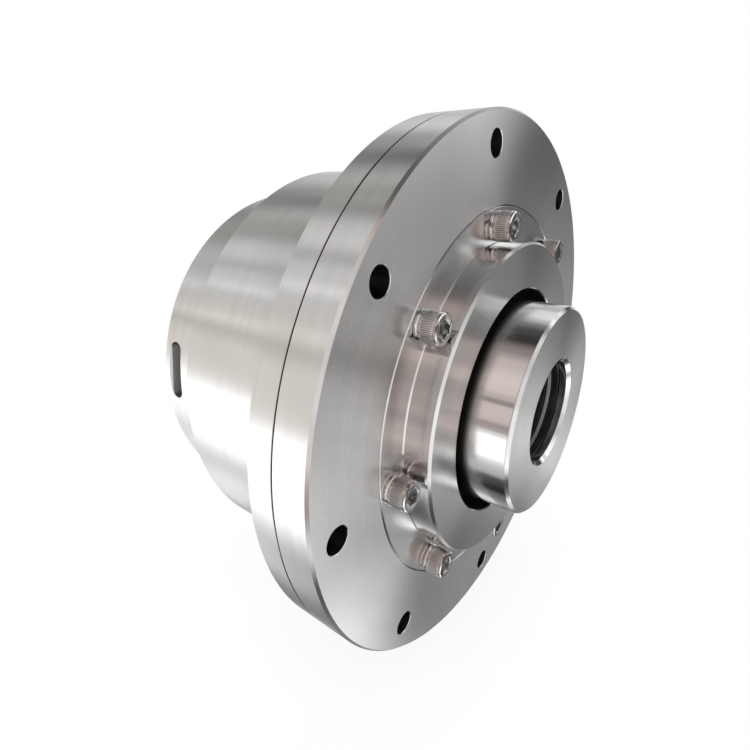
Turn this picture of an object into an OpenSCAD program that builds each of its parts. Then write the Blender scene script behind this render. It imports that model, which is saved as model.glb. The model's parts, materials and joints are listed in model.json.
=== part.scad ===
// Single mechanical seal, cartridge type, for a horizontal shaft.
// The shaft axis is X and the nose of the sleeve points to +X. Z is up.
// The origin is on the axis, in the rear mounting face of the flange.

/* [Shaft and sleeve] */
// Diameter of the shaft that the sleeve slides over
shaft_d = 38; // [34:1:40]
// Outer diameter of the sleeve's tube
sleeve_d = 52; // [50:1:53]
// Outer diameter of the sleeve's nose
nose_d = 77.2; // [74:0.2:79]
// How far the nose stands out of the flange's front face
nose_out = 25.2; // [20:0.2:32]
// Chamfer on the nose's outer edge
nose_chamfer = 1; // [0.4:0.1:2]
// Chamfer at the mouth of the bore
mouth_chamfer = 1.3; // [0.6:0.1:1.8]
// Land between the mouth chamfer and the first O-ring groove in the bore
mouth_land = 2.4; // [1.5:0.1:4]
// Land between the two O-ring grooves in the bore
ring_land = 1.1; // [0.8:0.1:3]

/* [Flange] */
// How far the flange stands out beyond the barrel
flange_rim = 18; // [16:0.5:30]
// Thickness of the flange plate that is one piece with the barrel
rear_plate_t = 10; // [9:0.5:14]
// Thickness of the cover flange in front of it
cover_t = 12.5; // [11.5:0.5:16]
// Chamfer on the flange's outer edges
flange_chamfer = 0.8; // [0.4:0.1:2]
// Chamfer on each side of the seams between the plates
seam_chamfer = 0.35; // [0.2:0.05:0.8]
// Number of mounting holes
bolt_count = 8; // [4:1:10]
// Distance from the flange's edge in to the circle of mounting holes
bolt_in = 10; // [8:0.5:11]
// Diameter of the mounting holes
bolt_hole_d = 8.4; // [6.4:0.2:9]
// Angle of the first hole and the first screw above the +Y axis
pattern_turn = 6.9; // [0:0.1:45]

/* [Barrel] */
// Outer diameter of the barrel, which centres the seal in its chamber
barrel_d = 164; // [158:1:165]
// Length of the barrel behind the mounting face
barrel_l = 55; // [48:1:65]
// Diameter of the chamber inside the barrel
chamber_d = 124; // [118:1:126]
// Chamfer on the barrel's rear edge
barrel_chamfer = 0.6; // [0.3:0.1:1.5]

/* [Rear ring] */
// Outer diameter of the ring behind the barrel
rear_ring_d = 145; // [143:1:150]
// Length of the ring behind the barrel
rear_ring_l = 30; // [27:1:36]
// Inner diameter of the lip at the ring's rear end
lip_d = 100; // [94:1:110]
// Thickness of that lip
lip_t = 4; // [3:0.5:6]
// Number of key windows round the ring, and of set screws inside them
window_count = 4; // [2:1:4]
// Length of a key window round the ring
window_l = 22.8; // [16:0.2:26]
// Width of a key window along the axis
window_w = 6.5; // [5.5:0.1:8]
// Distance from the rear end to the middle of the key windows
window_in = 7.8; // [7.6:0.1:9]
// Angle of the first key window above the +Y axis
window_turn = -7.2; // [-20:0.1:20]

/* [Gland insert] */
// Diameter of the insert where it is flush with the flange
insert_d = 141.4; // [140.6:0.2:144]
// Depth of the insert's flange in the cover
insert_t = 8; // [6:0.5:9]
// Diameter of the raised boss
boss_d = 118; // [110:1:119]
// Height of the boss above the flange's face
boss_h = 9.7; // [6:0.1:14]
// Chamfer on the boss's edge
boss_chamfer = 0.8; // [0.4:0.1:2]
// Bore of the boss round the nose
boss_bore_d = 86; // [85:0.5:88]
// Diameter of the spigot behind the insert's flange
spigot_d = 112; // [108:1:114]
// Diameter of the seat holder at the end of the insert
holder_d = 100; // [94:1:104]

/* [Screws] */
// Number of screws that hold the insert
screw_count = 8; // [4:1:8]
// Thread diameter of these screws
screw_d = 6; // [5:1:6]
// Distance from the insert's edge in to the circle of the screws
screw_in = 5.7; // [5.2:0.1:6]
// Length of the screws under their heads
screw_l = 25; // [22:1:26]
// Thickness of the split lock washers
washer_t = 1.6; // [1:0.1:2]
// Thread diameter of the long screws that hold the rear ring
ring_screw_d = 5; // [4:1:5]
// Thread diameter of the set screws in the drive collar
set_screw_d = 8; // [6:1:8]

/* [Seal faces] */
// Distance from the mounting face back to the plane where the faces meet
face_depth = 28; // [26:0.5:29]
// Length of the stationary seat
seat_l = 14; // [13:0.5:16]
// Outer diameter of the stationary seat
seat_d = 82; // [80:1:84]
// Inner diameter of the stationary seat
seat_bore_d = 58; // [57:1:60]
// Inner diameter of the seal ring's face
face_in_d = 60; // [59:1:61]
// Outer diameter of the seal ring's face
face_out_d = 72; // [70:1:74]
// Height of the face's narrow nose
face_nose = 2; // [1.5:0.5:3]
// Length of the seal ring with its nose
seal_ring_l = 18; // [17:0.5:19]
// Outer diameter of the seal ring's body
seal_ring_d = 76; // [75:0.5:76.5]
// How far the seal ring can float back on its springs
float_l = 2; // [1:0.5:3]

/* [Rotary unit] */
// Thickness of the thrust ring
thrust_t = 4; // [3:0.5:5]
// Room between the seal ring's body and the collar's skirt
skirt_room = 3; // [2.7:0.1:3.5]
// Thickness of the skirt
skirt_wall = 3; // [2.5:0.1:4]
// Thickness of the collar on the sleeve, where its set screws are
collar_wall = 14; // [12.5:0.5:15.5]
// Number of springs
spring_count = 8; // [4:2:8]
// Distance from the sleeve out to the circle of the springs and the drive pins
spring_out = 7.5; // [7:0.1:8]
// Outer diameter of a spring
spring_d = 6; // [5:0.25:6]
// Diameter of the spring wire
spring_wire = 0.9; // [0.6:0.1:1.1]
// Length of a spring as fitted
spring_l = 16; // [14:0.5:18]
// Turns of a spring, closed ends included
spring_turns = 6; // [5:1:7]
// Diameter of the drive pins
pin_d = 4; // [3:0.5:4.5]

/* [O-rings and clearances] */
// Cord of the O-rings in the sleeve's bore
bore_cord = 3.5; // [3:0.1:4]
// Cord of the other O-rings
o_cord = 3.5; // [3:0.1:3.6]
// Share of the cord that is left when an O-ring is squeezed
o_squeeze = 0.85; // [0.75:0.01:0.95]
// Play between fixed pieces that slide into each other
fit_play = 0.05; // [0.02:0.01:0.1]
// Play of the sleeve on its shaft
shaft_play = 0.02; // [0.01:0.01:0.05]
// Play between moving pieces
run_play = 0.3; // [0.2:0.05:0.4]
// Play round the insert's flange, which shows as a fine ring
seam_play = 0.15; // [0.05:0.05:0.25]
// Hair of room beside the flats of an O-ring in its groove
o_play = 0.02; // [0.01:0.01:0.05]

/* [Hidden] */
$fn = 96;

// Small change that lets a cut run clear of a face
cut = 1;

// Planes along the axis, from the nose back to the rear end
seam_x = rear_plate_t;
face_x = rear_plate_t + cover_t;
boss_x = face_x + boss_h;
nose_x = face_x + nose_out;
insert_x = face_x - insert_t;
barrel_x = -barrel_l;
rear_x = barrel_x - rear_ring_l;
window_x = rear_x + window_in;

// Radii of the turned pieces
bore_r = shaft_d / 2 + shaft_play;
sleeve_r = sleeve_d / 2;
nose_r = nose_d / 2;
barrel_r = barrel_d / 2;
flange_r = barrel_r + flange_rim;
chamber_r = chamber_d / 2;
rear_r = rear_ring_d / 2;
insert_r = insert_d / 2;
boss_r = boss_d / 2;
boss_bore_r = boss_bore_d / 2;
spigot_r = spigot_d / 2;

// Radii of the circles that screws, holes and springs stand on
bolt_r = flange_r - bolt_in;
screw_r = insert_r - screw_in;
spring_r = sleeve_r + spring_out;

// Radii of the rotary unit
seal_ring_r = seal_ring_d / 2;
skirt_in_r = seal_ring_r + skirt_room;
skirt_r = skirt_in_r + skirt_wall;
collar_r = sleeve_r + collar_wall;

// Web of the housing that carries the insert's screws
web_t = 6;
web_x = -web_t;
screw_foot = 1.5;
screw_top_x = face_x + washer_t;
screw_end_x = screw_top_x - screw_l;

// Grooves for O-rings
o_thick = o_cord * o_squeeze;
o_wide = o_cord * 1.2;
bore_o_wide = bore_cord * 1.04;
bore_o_depth = bore_cord * o_squeeze;
bore_o_x1 = nose_x - mouth_chamfer - mouth_land - bore_o_wide / 2;
bore_o_x2 = bore_o_x1 - bore_o_wide - ring_land;
gland_o_x = seam_x - 5;
housing_o_r = (screw_r + screw_d / 2 + bolt_r - bolt_hole_d / 2) / 2;

// Stationary seat and its holder
meet_x = -face_depth;
seat_x = meet_x + seat_l;
seat_r = seat_d / 2;
pocket_r = seat_r + 0.25;
seat_stand = 3;
holder_x = meet_x + seat_stand;
seat_o_x = seat_x - seat_l / 2;
quench_r = 36;
throat_r = 30;
throat_l = 6;
seat_pin_d = 4;
seat_pin_l = 7;
seat_pin_r = (seat_r + seat_bore_d / 2) / 2;

// Throttle bush behind the gap round the nose
bush_x = seam_x;
bush_l = 8;
bush_front_x = bush_x + bush_l;
snap_t = 1.4;
snap_deep = 1.6;
snap_open = 12;
nose_gap = 1;
nose_rear_x = bush_x + nose_gap;

// Rotary unit behind the faces
ring_rear_x = meet_x - seal_ring_l;
ring_flange_t = 4;
thrust_x = ring_rear_x - thrust_t;
spring_floor_x = thrust_x - spring_l;
block_x = thrust_x - float_l - 4;
snap_gap = 1.8;
collar_snap_x = ring_rear_x + ring_flange_t + snap_gap;
skirt_x = collar_snap_x + snap_t + 2;
block_rear_x = spring_floor_x - 2;
sleeve_rear_x = rear_x + 1;
thrust_r = skirt_in_r - run_play;
pin_turn = 180 / spring_count;
pin_bed = 8;
pin_reach = 6;
set_screw_in = 2;
pin_x = block_x - pin_bed;
pin_end_x = ring_rear_x + pin_reach;
pin_count = 4;

// Long screws of the rear ring
ring_screw_r = (rear_r + chamber_r) / 2;
ring_screw_deep = 6;
ring_screw_x = rear_x + ring_screw_deep;
ring_screw_grip = 10;
rear_spigot_l = 5;
rear_spigot_r = chamber_r + 2;

// Solid of revolution about X from points given as [radius, x]
module turned(points) {
    rotate([0, 90, 0]) rotate_extrude() polygon(points);
}

// Plain ring about X
module ring(outer_r, inner_r, from_x, to_x) {
    turned([[inner_r, from_x], [outer_r, from_x], [outer_r, to_x], [inner_r, to_x]]);
}

// Rod along X
module rod(r, from_x, to_x) {
    translate([from_x, 0, 0]) rotate([0, 90, 0]) cylinder(r = r, h = to_x - from_x);
}

// Copies round the axis at a radius, where angle 0 is on +Y
module around(count, radius, turn = 0) {
    for (i = [0 : count - 1]) rotate([turn + 360 / count * i, 0, 0]) translate([0, radius, 0]) children();
}

// O-ring about X, flattened across its radius or along the axis
module o_ring(mid_r, mid_x, cord, radial = true) {
    flat = cord * o_squeeze - 2 * o_play;
    rotate([0, 90, 0]) rotate_extrude() translate([mid_r, mid_x]) intersection() {
        circle(d = cord, $fn = 40);
        square(radial ? [flat, cord] : [cord, flat], center = true);
    }
}

// Socket-head cap screw along X, its head above x = 0 and its thread below
module cap_screw(d, l) {
    head_r = d * 5 / 6;
    edge = d * 0.09;
    point = d * 0.12;
    difference() {
        union() {
            turned([
                [0, 0], [head_r - edge / 2, 0], [head_r, edge / 2], [head_r, d - edge],
                [head_r - edge, d], [0, d]
            ]);
            turned([
                [0, -l], [d / 2 - point, -l], [d / 2, point - l], [d / 2, edge], [0, edge]
            ]);
        }
        translate([d / 2, 0, 0]) rotate([0, 90, 0])
            cylinder(r = d * 5 / 12 / cos(30), h = d, $fn = 6);
    }
}

// Grub screw along Y with a hex socket outside and a cup point inside
module set_screw(d, from_r, to_r) {
    point = d * 0.18;
    difference() {
        rotate([-90, 0, 0]) rotate_extrude() polygon([
            [0, from_r], [d / 2 - point, from_r], [d / 2, from_r + point],
            [d / 2, to_r - point / 2], [d / 2 - point / 2, to_r], [0, to_r]
        ]);
        translate([0, to_r - d / 2, 0]) rotate([-90, 0, 0])
            cylinder(r = d / 4 / cos(30), h = d, $fn = 6);
    }
}

// Split lock washer along X, its cut on a slant
module split_washer(d, t) {
    difference() {
        ring(d * 0.825, d / 2 + fit_play, 0, t);
        translate([t / 2, d * 0.67, 0]) rotate([0, 0, 30])
            cube([t * 3, d * 0.6, d * 0.16], center = true);
    }
}

// Spring ring with a gap, which seats in a groove
module snap_ring(outer_r, inner_r, from_x, gap) {
    difference() {
        ring(outer_r, inner_r, from_x, from_x + snap_t);
        translate([from_x + snap_t / 2, outer_r, 0])
            cube([snap_t + cut, (outer_r - inner_r) * 4, gap], center = true);
    }
}

// Barrel and rear flange plate, turned from one piece
module seal_housing() {
    color("silver") difference() {
        turned([
            [spigot_r + fit_play, web_x], [chamber_r, web_x],
            [chamber_r, barrel_x + rear_spigot_l],
            [rear_spigot_r + fit_play, barrel_x + rear_spigot_l],
            [rear_spigot_r + fit_play, barrel_x],
            [barrel_r - barrel_chamfer, barrel_x], [barrel_r, barrel_x + barrel_chamfer],
            [barrel_r, 0], [flange_r - flange_chamfer, 0], [flange_r, flange_chamfer],
            [flange_r, seam_x - seam_chamfer], [flange_r - seam_chamfer, seam_x],
            [housing_o_r + o_wide / 2, seam_x], [housing_o_r + o_wide / 2, seam_x - o_thick],
            [housing_o_r - o_wide / 2, seam_x - o_thick], [housing_o_r - o_wide / 2, seam_x],
            [spigot_r + fit_play, seam_x]
        ]);
        around(bolt_count, bolt_r, pattern_turn) rod(bolt_hole_d / 2, -cut, seam_x + cut);
        around(screw_count, screw_r, pattern_turn)
            rod(screw_d / 2 + fit_play, screw_end_x - screw_foot, seam_x + cut);
        around(window_count, ring_screw_r, window_turn + 180 / window_count)
            rod(ring_screw_d / 2 + fit_play, barrel_x - cut, barrel_x + ring_screw_grip + screw_foot);
    }
}

// Front flange plate with the counterbore for the insert
module cover_flange() {
    seat_bore = insert_r + seam_play;
    color("gainsboro") difference() {
        turned([
            [spigot_r + fit_play, seam_x], [flange_r - seam_chamfer, seam_x],
            [flange_r, seam_x + seam_chamfer], [flange_r, face_x - flange_chamfer],
            [flange_r - flange_chamfer, face_x], [seat_bore + seam_chamfer, face_x],
            [seat_bore, face_x - seam_chamfer], [seat_bore, insert_x],
            [spigot_r + fit_play, insert_x]
        ]);
        around(bolt_count, bolt_r, pattern_turn) rod(bolt_hole_d / 2, seam_x - cut, face_x + cut);
        around(screw_count, screw_r, pattern_turn)
            rod(screw_d / 2 + run_play, seam_x - cut, insert_x + cut);
    }
}

// Insert with the raised boss in front and the seat holder behind
module gland_insert() {
    groove_r = spigot_r + fit_play - o_thick;
    snap_x = bush_front_x + fit_play;
    color("silver") difference() {
        turned([
            [boss_bore_r, boss_x - seam_chamfer], [boss_bore_r + seam_chamfer, boss_x],
            [boss_r - boss_chamfer, boss_x], [boss_r, boss_x - boss_chamfer],
            [boss_r, face_x + seam_chamfer], [boss_r + seam_chamfer, face_x],
            [insert_r - seam_chamfer, face_x], [insert_r, face_x - seam_chamfer],
            [insert_r, insert_x], [spigot_r, insert_x],
            [spigot_r, gland_o_x + o_wide / 2], [groove_r, gland_o_x + o_wide / 2],
            [groove_r, gland_o_x - o_wide / 2], [spigot_r, gland_o_x - o_wide / 2],
            [spigot_r, web_x], [holder_d / 2, web_x], [holder_d / 2, holder_x],
            [pocket_r, holder_x], [pocket_r, seat_x], [throat_r, seat_x],
            [throat_r, seat_x + throat_l], [quench_r, seat_x + throat_l], [quench_r, bush_x],
            [boss_bore_r, bush_x], [boss_bore_r, snap_x], [boss_bore_r + snap_deep, snap_x],
            [boss_bore_r + snap_deep, snap_x + snap_t + fit_play],
            [boss_bore_r, snap_x + snap_t + fit_play]
        ]);
        around(screw_count, screw_r, pattern_turn)
            rod(screw_d / 2 + run_play, insert_x - cut, face_x + cut);
        around(2, seat_pin_r, 0) rod(seat_pin_d / 2 + fit_play, seat_x - cut, seat_x + seat_pin_l / 2);
    }
}

// Cap screws that clamp the insert, the cover and the housing
module gland_screws() {
    color("dimgray") around(screw_count, screw_r, pattern_turn)
        translate([screw_top_x, 0, 0]) cap_screw(screw_d, screw_l);
}

// One split washer under each of these screws
module lock_washers() {
    color("gray") around(screw_count, screw_r, pattern_turn)
        translate([face_x, 0, 0]) split_washer(screw_d, washer_t);
}

// O-ring between the two flange plates
module housing_o_ring() {
    color("black") o_ring(housing_o_r, seam_x - o_thick / 2, o_cord, false);
}

// O-ring round the insert's spigot
module gland_o_ring() {
    color("black") o_ring(spigot_r + fit_play - o_thick / 2, gland_o_x, o_cord);
}

// Stationary seat with a groove for its O-ring and holes for its pins
module seat_ring() {
    groove_r = pocket_r - o_thick;
    edge = 0.6;
    color("slategray") difference() {
        turned([
            [seat_bore_d / 2, meet_x], [seat_r - edge, meet_x], [seat_r, meet_x + edge],
            [seat_r, seat_o_x - o_wide / 2], [groove_r, seat_o_x - o_wide / 2],
            [groove_r, seat_o_x + o_wide / 2], [seat_r, seat_o_x + o_wide / 2],
            [seat_r, seat_x - edge], [seat_r - edge, seat_x], [seat_bore_d / 2, seat_x]
        ]);
        around(2, seat_pin_r, 0)
            rod(seat_pin_d / 2 + run_play, seat_x - seat_pin_l / 2 - fit_play, seat_x + cut);
    }
}

// O-ring that holds the seat in its pocket
module seat_o_ring() {
    color("black") o_ring(pocket_r - o_thick / 2, seat_o_x, o_cord);
}

// Pins that stop the seat from turning
module seat_pins() {
    color("silver") around(2, seat_pin_r, 0)
        rod(seat_pin_d / 2, seat_x - seat_pin_l / 2, seat_x + seat_pin_l / 2);
}

// Bush that throttles a leak round the nose
module throttle_bush() {
    color("black") ring(boss_bore_r - fit_play, nose_r + run_play, bush_x, bush_front_x);
}

// Ring that keeps the bush in the boss
module bush_snap_ring() {
    color("black") snap_ring(boss_bore_r + snap_deep - fit_play, boss_bore_r - snap_deep,
        bush_front_x + fit_play, snap_open);
}

// Ring behind the barrel, with the key windows to the set screws
module rear_ring() {
    edge = 1.6;
    end_r = window_w / 2;
    color("silver") difference() {
        turned([
            [chamber_r, rear_x + lip_t], [lip_d / 2, rear_x + lip_t], [lip_d / 2, rear_x],
            [rear_r - edge, rear_x], [rear_r, rear_x + edge], [rear_r, barrel_x],
            [rear_spigot_r, barrel_x], [rear_spigot_r, barrel_x + rear_spigot_l],
            [chamber_r, barrel_x + rear_spigot_l]
        ]);
        around(window_count, 0, window_turn) translate([window_x, chamber_r - cut, 0]) {
            cut_l = rear_r - chamber_r + 2 * cut;
            for (side = [-1, 1]) translate([0, 0, side * (window_l / 2 - end_r)])
                rotate([-90, 0, 0]) cylinder(r = end_r, h = cut_l);
            translate([-end_r, 0, end_r - window_l / 2]) cube([window_w, cut_l, window_l - window_w]);
        }
        around(window_count, ring_screw_r, window_turn + 180 / window_count) {
            rod(ring_screw_d / 2 + run_play, rear_x, barrel_x + cut);
            rod(ring_screw_d * 5 / 6 + run_play, rear_x - cut, ring_screw_x);
        }
    }
}

// Long cap screws from the rear end into the barrel
module rear_ring_screws() {
    color("dimgray") around(window_count, ring_screw_r, window_turn + 180 / window_count)
        translate([ring_screw_x, 0, 0]) mirror([1, 0, 0])
            cap_screw(ring_screw_d, barrel_x + ring_screw_grip - ring_screw_x);
}

// Sleeve that turns with the shaft, its thick nose in front
module shaft_sleeve() {
    g = bore_o_wide / 2;
    deep_r = bore_r + bore_o_depth;
    rear_edge = 1;
    color("whitesmoke") difference() {
        turned([
            [bore_r, sleeve_rear_x], [sleeve_r - rear_edge, sleeve_rear_x],
            [sleeve_r, sleeve_rear_x + rear_edge], [sleeve_r, nose_rear_x],
            [nose_r, nose_rear_x], [nose_r, nose_x - nose_chamfer],
            [nose_r - nose_chamfer, nose_x], [bore_r + mouth_chamfer, nose_x],
            [bore_r, nose_x - mouth_chamfer],
            [bore_r, bore_o_x1 + g], [deep_r, bore_o_x1 + g],
            [deep_r, bore_o_x1 - g], [bore_r, bore_o_x1 - g],
            [bore_r, bore_o_x2 + g], [deep_r, bore_o_x2 + g],
            [deep_r, bore_o_x2 - g], [bore_r, bore_o_x2 - g]
        ]);
        around(window_count, 0, window_turn) translate([window_x, bore_r - cut, 0])
            rotate([-90, 0, 0]) cylinder(d = set_screw_d + run_play * 2, h = sleeve_r - bore_r + 2 * cut);
    }
}

// Two O-rings in the sleeve's bore, which seal it on the shaft
module bore_o_rings() {
    mid_r = bore_r + bore_o_depth / 2;
    color("black") {
        o_ring(mid_r, bore_o_x1, bore_cord);
        o_ring(mid_r, bore_o_x2, bore_cord);
    }
}

// Collar on the sleeve that carries the springs and the drive pins
module drive_collar() {
    edge = 1;
    bed_r = sleeve_r + fit_play;
    color("silver") difference() {
        turned([
            [bed_r, sleeve_rear_x], [collar_r - edge, sleeve_rear_x],
            [collar_r, sleeve_rear_x + edge], [collar_r, block_rear_x],
            [skirt_r, block_rear_x], [skirt_r, skirt_x - edge],
            [skirt_r - edge, skirt_x], [skirt_in_r, skirt_x],
            [skirt_in_r, collar_snap_x + snap_t + fit_play],
            [skirt_in_r + snap_deep, collar_snap_x + snap_t + fit_play],
            [skirt_in_r + snap_deep, collar_snap_x - fit_play],
            [skirt_in_r, collar_snap_x - fit_play],
            [skirt_in_r, block_x], [bed_r, block_x]
        ]);
        around(spring_count, spring_r) rod(spring_d / 2 + run_play, spring_floor_x, block_x + cut);
        around(pin_count, spring_r, pin_turn) rod(pin_d / 2 + fit_play, pin_x, block_x + cut);
        around(window_count, 0, window_turn) translate([window_x, sleeve_r - cut, 0])
            rotate([-90, 0, 0]) cylinder(d = set_screw_d + fit_play * 2, h = collar_r - sleeve_r + 2 * cut);
    }
}

// Set screws that lock the collar and the sleeve to the shaft
module set_screws() {
    color("dimgray") around(window_count, 0, window_turn) translate([window_x, 0, 0])
        set_screw(set_screw_d, bore_r + run_play, collar_r - set_screw_in);
}

// Height of a spring's centre line after a share of its turns, with a closed turn at each end
function spring_rise(turn) =
    let (
        closed = spring_wire * 1.1,
        pitch = (spring_l - spring_wire - 2 * closed) / (spring_turns - 2)
    )
    turn < 1 ? turn * closed
    : turn > spring_turns - 1 ? spring_l - spring_wire - (spring_turns - turn) * closed
    : closed + (turn - 1) * pitch;

// One coil spring along X, swept round its own helix
module coil_spring() {
    steps = 8;
    sides = 6;
    wire_r = spring_wire / 2;
    coil_r = spring_d / 2 - wire_r;
    last = spring_turns * steps;
    points = [
        for (i = [0 : last]) let (a = 360 * i / steps, rise = wire_r + spring_rise(i / steps))
            for (k = [0 : sides - 1]) let (b = 360 * k / sides, r = coil_r + wire_r * cos(b))
                [rise + wire_r * sin(b), r * cos(a), r * sin(a)]
    ];
    walls = [
        for (i = [0 : last - 1]) for (k = [0 : sides - 1])
            let (a = i * sides + k, b = i * sides + (k + 1) % sides)
                for (half = [[a, b, b + sides], [a, b + sides, a + sides]]) half
    ];
    first_end = [for (k = [sides - 1 : -1 : 0]) k];
    last_end = [for (k = [0 : sides - 1]) last * sides + k];
    polyhedron(points = points, faces = concat(walls, [first_end, last_end]));
}

// Springs that press the thrust ring and the seal ring forward
module springs() {
    color("lightgray") around(spring_count, spring_r) translate([spring_floor_x, 0, 0]) coil_spring();
}

// Pins that carry the turning of the collar to the seal ring
module drive_pins() {
    color("silver") around(pin_count, spring_r, pin_turn) rod(pin_d / 2, pin_x, pin_end_x);
}

// Ring that keeps the seal ring inside the skirt
module collar_snap_ring() {
    color("gray") snap_ring(skirt_in_r + snap_deep - fit_play, seal_ring_r + run_play,
        collar_snap_x, snap_open);
}

// Sliding seal ring with its narrow face in front
module seal_ring() {
    slide_r = sleeve_r + run_play;
    flange_x = ring_rear_x + ring_flange_t;
    nest_l = o_cord;
    nest_r = slide_r + o_thick;
    color("dimgray") difference() {
        turned([
            [slide_r, ring_rear_x + nest_l], [nest_r, ring_rear_x + nest_l],
            [nest_r, ring_rear_x], [thrust_r, ring_rear_x], [thrust_r, flange_x],
            [seal_ring_r, flange_x], [seal_ring_r, meet_x - face_nose],
            [face_out_d / 2, meet_x - face_nose], [face_out_d / 2, meet_x],
            [face_in_d / 2, meet_x], [face_in_d / 2, meet_x - face_nose],
            [slide_r, meet_x - face_nose]
        ]);
        around(pin_count, spring_r, pin_turn)
            rod(pin_d / 2 + run_play, ring_rear_x - cut, pin_end_x + float_l + 1);
    }
}

// O-ring that seals the sliding ring on the sleeve
module ring_o_ring() {
    color("black") o_ring(sleeve_r + run_play + o_thick / 2, ring_rear_x + o_cord / 2, o_cord);
}

// Ring between the springs and the seal ring
module thrust_ring() {
    color("silver") difference() {
        ring(thrust_r, sleeve_r + run_play, thrust_x, ring_rear_x);
        around(pin_count, spring_r, pin_turn)
            rod(pin_d / 2 + run_play, thrust_x - cut, ring_rear_x + cut);
    }
}

seal_housing();
cover_flange();
gland_insert();
gland_screws();
lock_washers();
housing_o_ring();
gland_o_ring();
seat_ring();
seat_o_ring();
seat_pins();
throttle_bush();
bush_snap_ring();
rear_ring();
rear_ring_screws();
shaft_sleeve();
bore_o_rings();
drive_collar();
set_screws();
springs();
drive_pins();
collar_snap_ring();
seal_ring();
ring_o_ring();
thrust_ring();
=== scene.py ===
"""Single mechanical seal: looks, studio and camera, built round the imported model.

The shaft axis is X, the nose of the sleeve points to +X and Z is up. Lengths are
millimetres, and every mesh is made in metres at its place in that frame. Points of
outlines are (radius, x). A turn of a row is the angle of its first piece above +Y, in
degrees.
"""

import json
import logging
import math
from dataclasses import dataclass
from enum import Enum
from typing import Callable, Optional, Sequence, Union

import bmesh
import bpy
from mathutils import Matrix, Vector

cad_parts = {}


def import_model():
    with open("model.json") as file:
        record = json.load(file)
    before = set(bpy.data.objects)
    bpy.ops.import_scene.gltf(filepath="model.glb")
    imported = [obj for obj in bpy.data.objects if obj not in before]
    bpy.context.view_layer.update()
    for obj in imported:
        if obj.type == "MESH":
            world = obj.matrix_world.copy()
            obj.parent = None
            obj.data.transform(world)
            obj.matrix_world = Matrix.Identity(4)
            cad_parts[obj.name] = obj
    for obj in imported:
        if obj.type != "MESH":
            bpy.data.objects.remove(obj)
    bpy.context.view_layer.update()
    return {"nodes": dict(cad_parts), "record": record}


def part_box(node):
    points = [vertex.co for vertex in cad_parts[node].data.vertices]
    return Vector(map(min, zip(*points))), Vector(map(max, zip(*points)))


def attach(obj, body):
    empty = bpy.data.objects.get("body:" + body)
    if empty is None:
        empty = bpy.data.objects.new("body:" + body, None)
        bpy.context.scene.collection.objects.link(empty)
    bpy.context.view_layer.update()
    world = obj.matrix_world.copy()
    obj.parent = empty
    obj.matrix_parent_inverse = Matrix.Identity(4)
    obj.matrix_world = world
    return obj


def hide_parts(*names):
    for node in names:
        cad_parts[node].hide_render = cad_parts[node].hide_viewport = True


log = logging.getLogger("seal")

MM = 0.001
TURN = 2 * math.pi
LATHE_STEPS = 240
FINE_STEPS = 96
SMOOTH_ANGLE = math.radians(22)
DRILL_OVER = 1.0
SAME_POINT = 1e-7
UP = (0.0, 1.0)
DOWN = (1.0, 0.0)
SIDE_SPAN = (0.15, 0.35)
FACE_SPAN = (0.6, 0.95)
STREAK_SPAN = (0.3, 0.7)
QUARTER_TURN = 0.25
WHITE = (1.0, 1.0, 1.0)
BLACK = (0.0, 0.0, 0.0)
PATTERN_TURN = 6.9
SCREW_CIRCLE_R = 65.0
KNURL_DEPTH = 0.1

Point = tuple[float, float]
Colour = tuple[float, float, float]
Socket = bpy.types.NodeSocket
Piece = bpy.types.Object
Form = Callable[[float, float], float]


class Body(Enum):
    """Names of the bodies that pieces ride on."""

    GLAND = "gland"
    ROTOR = "rotor"


# Node trees


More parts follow.
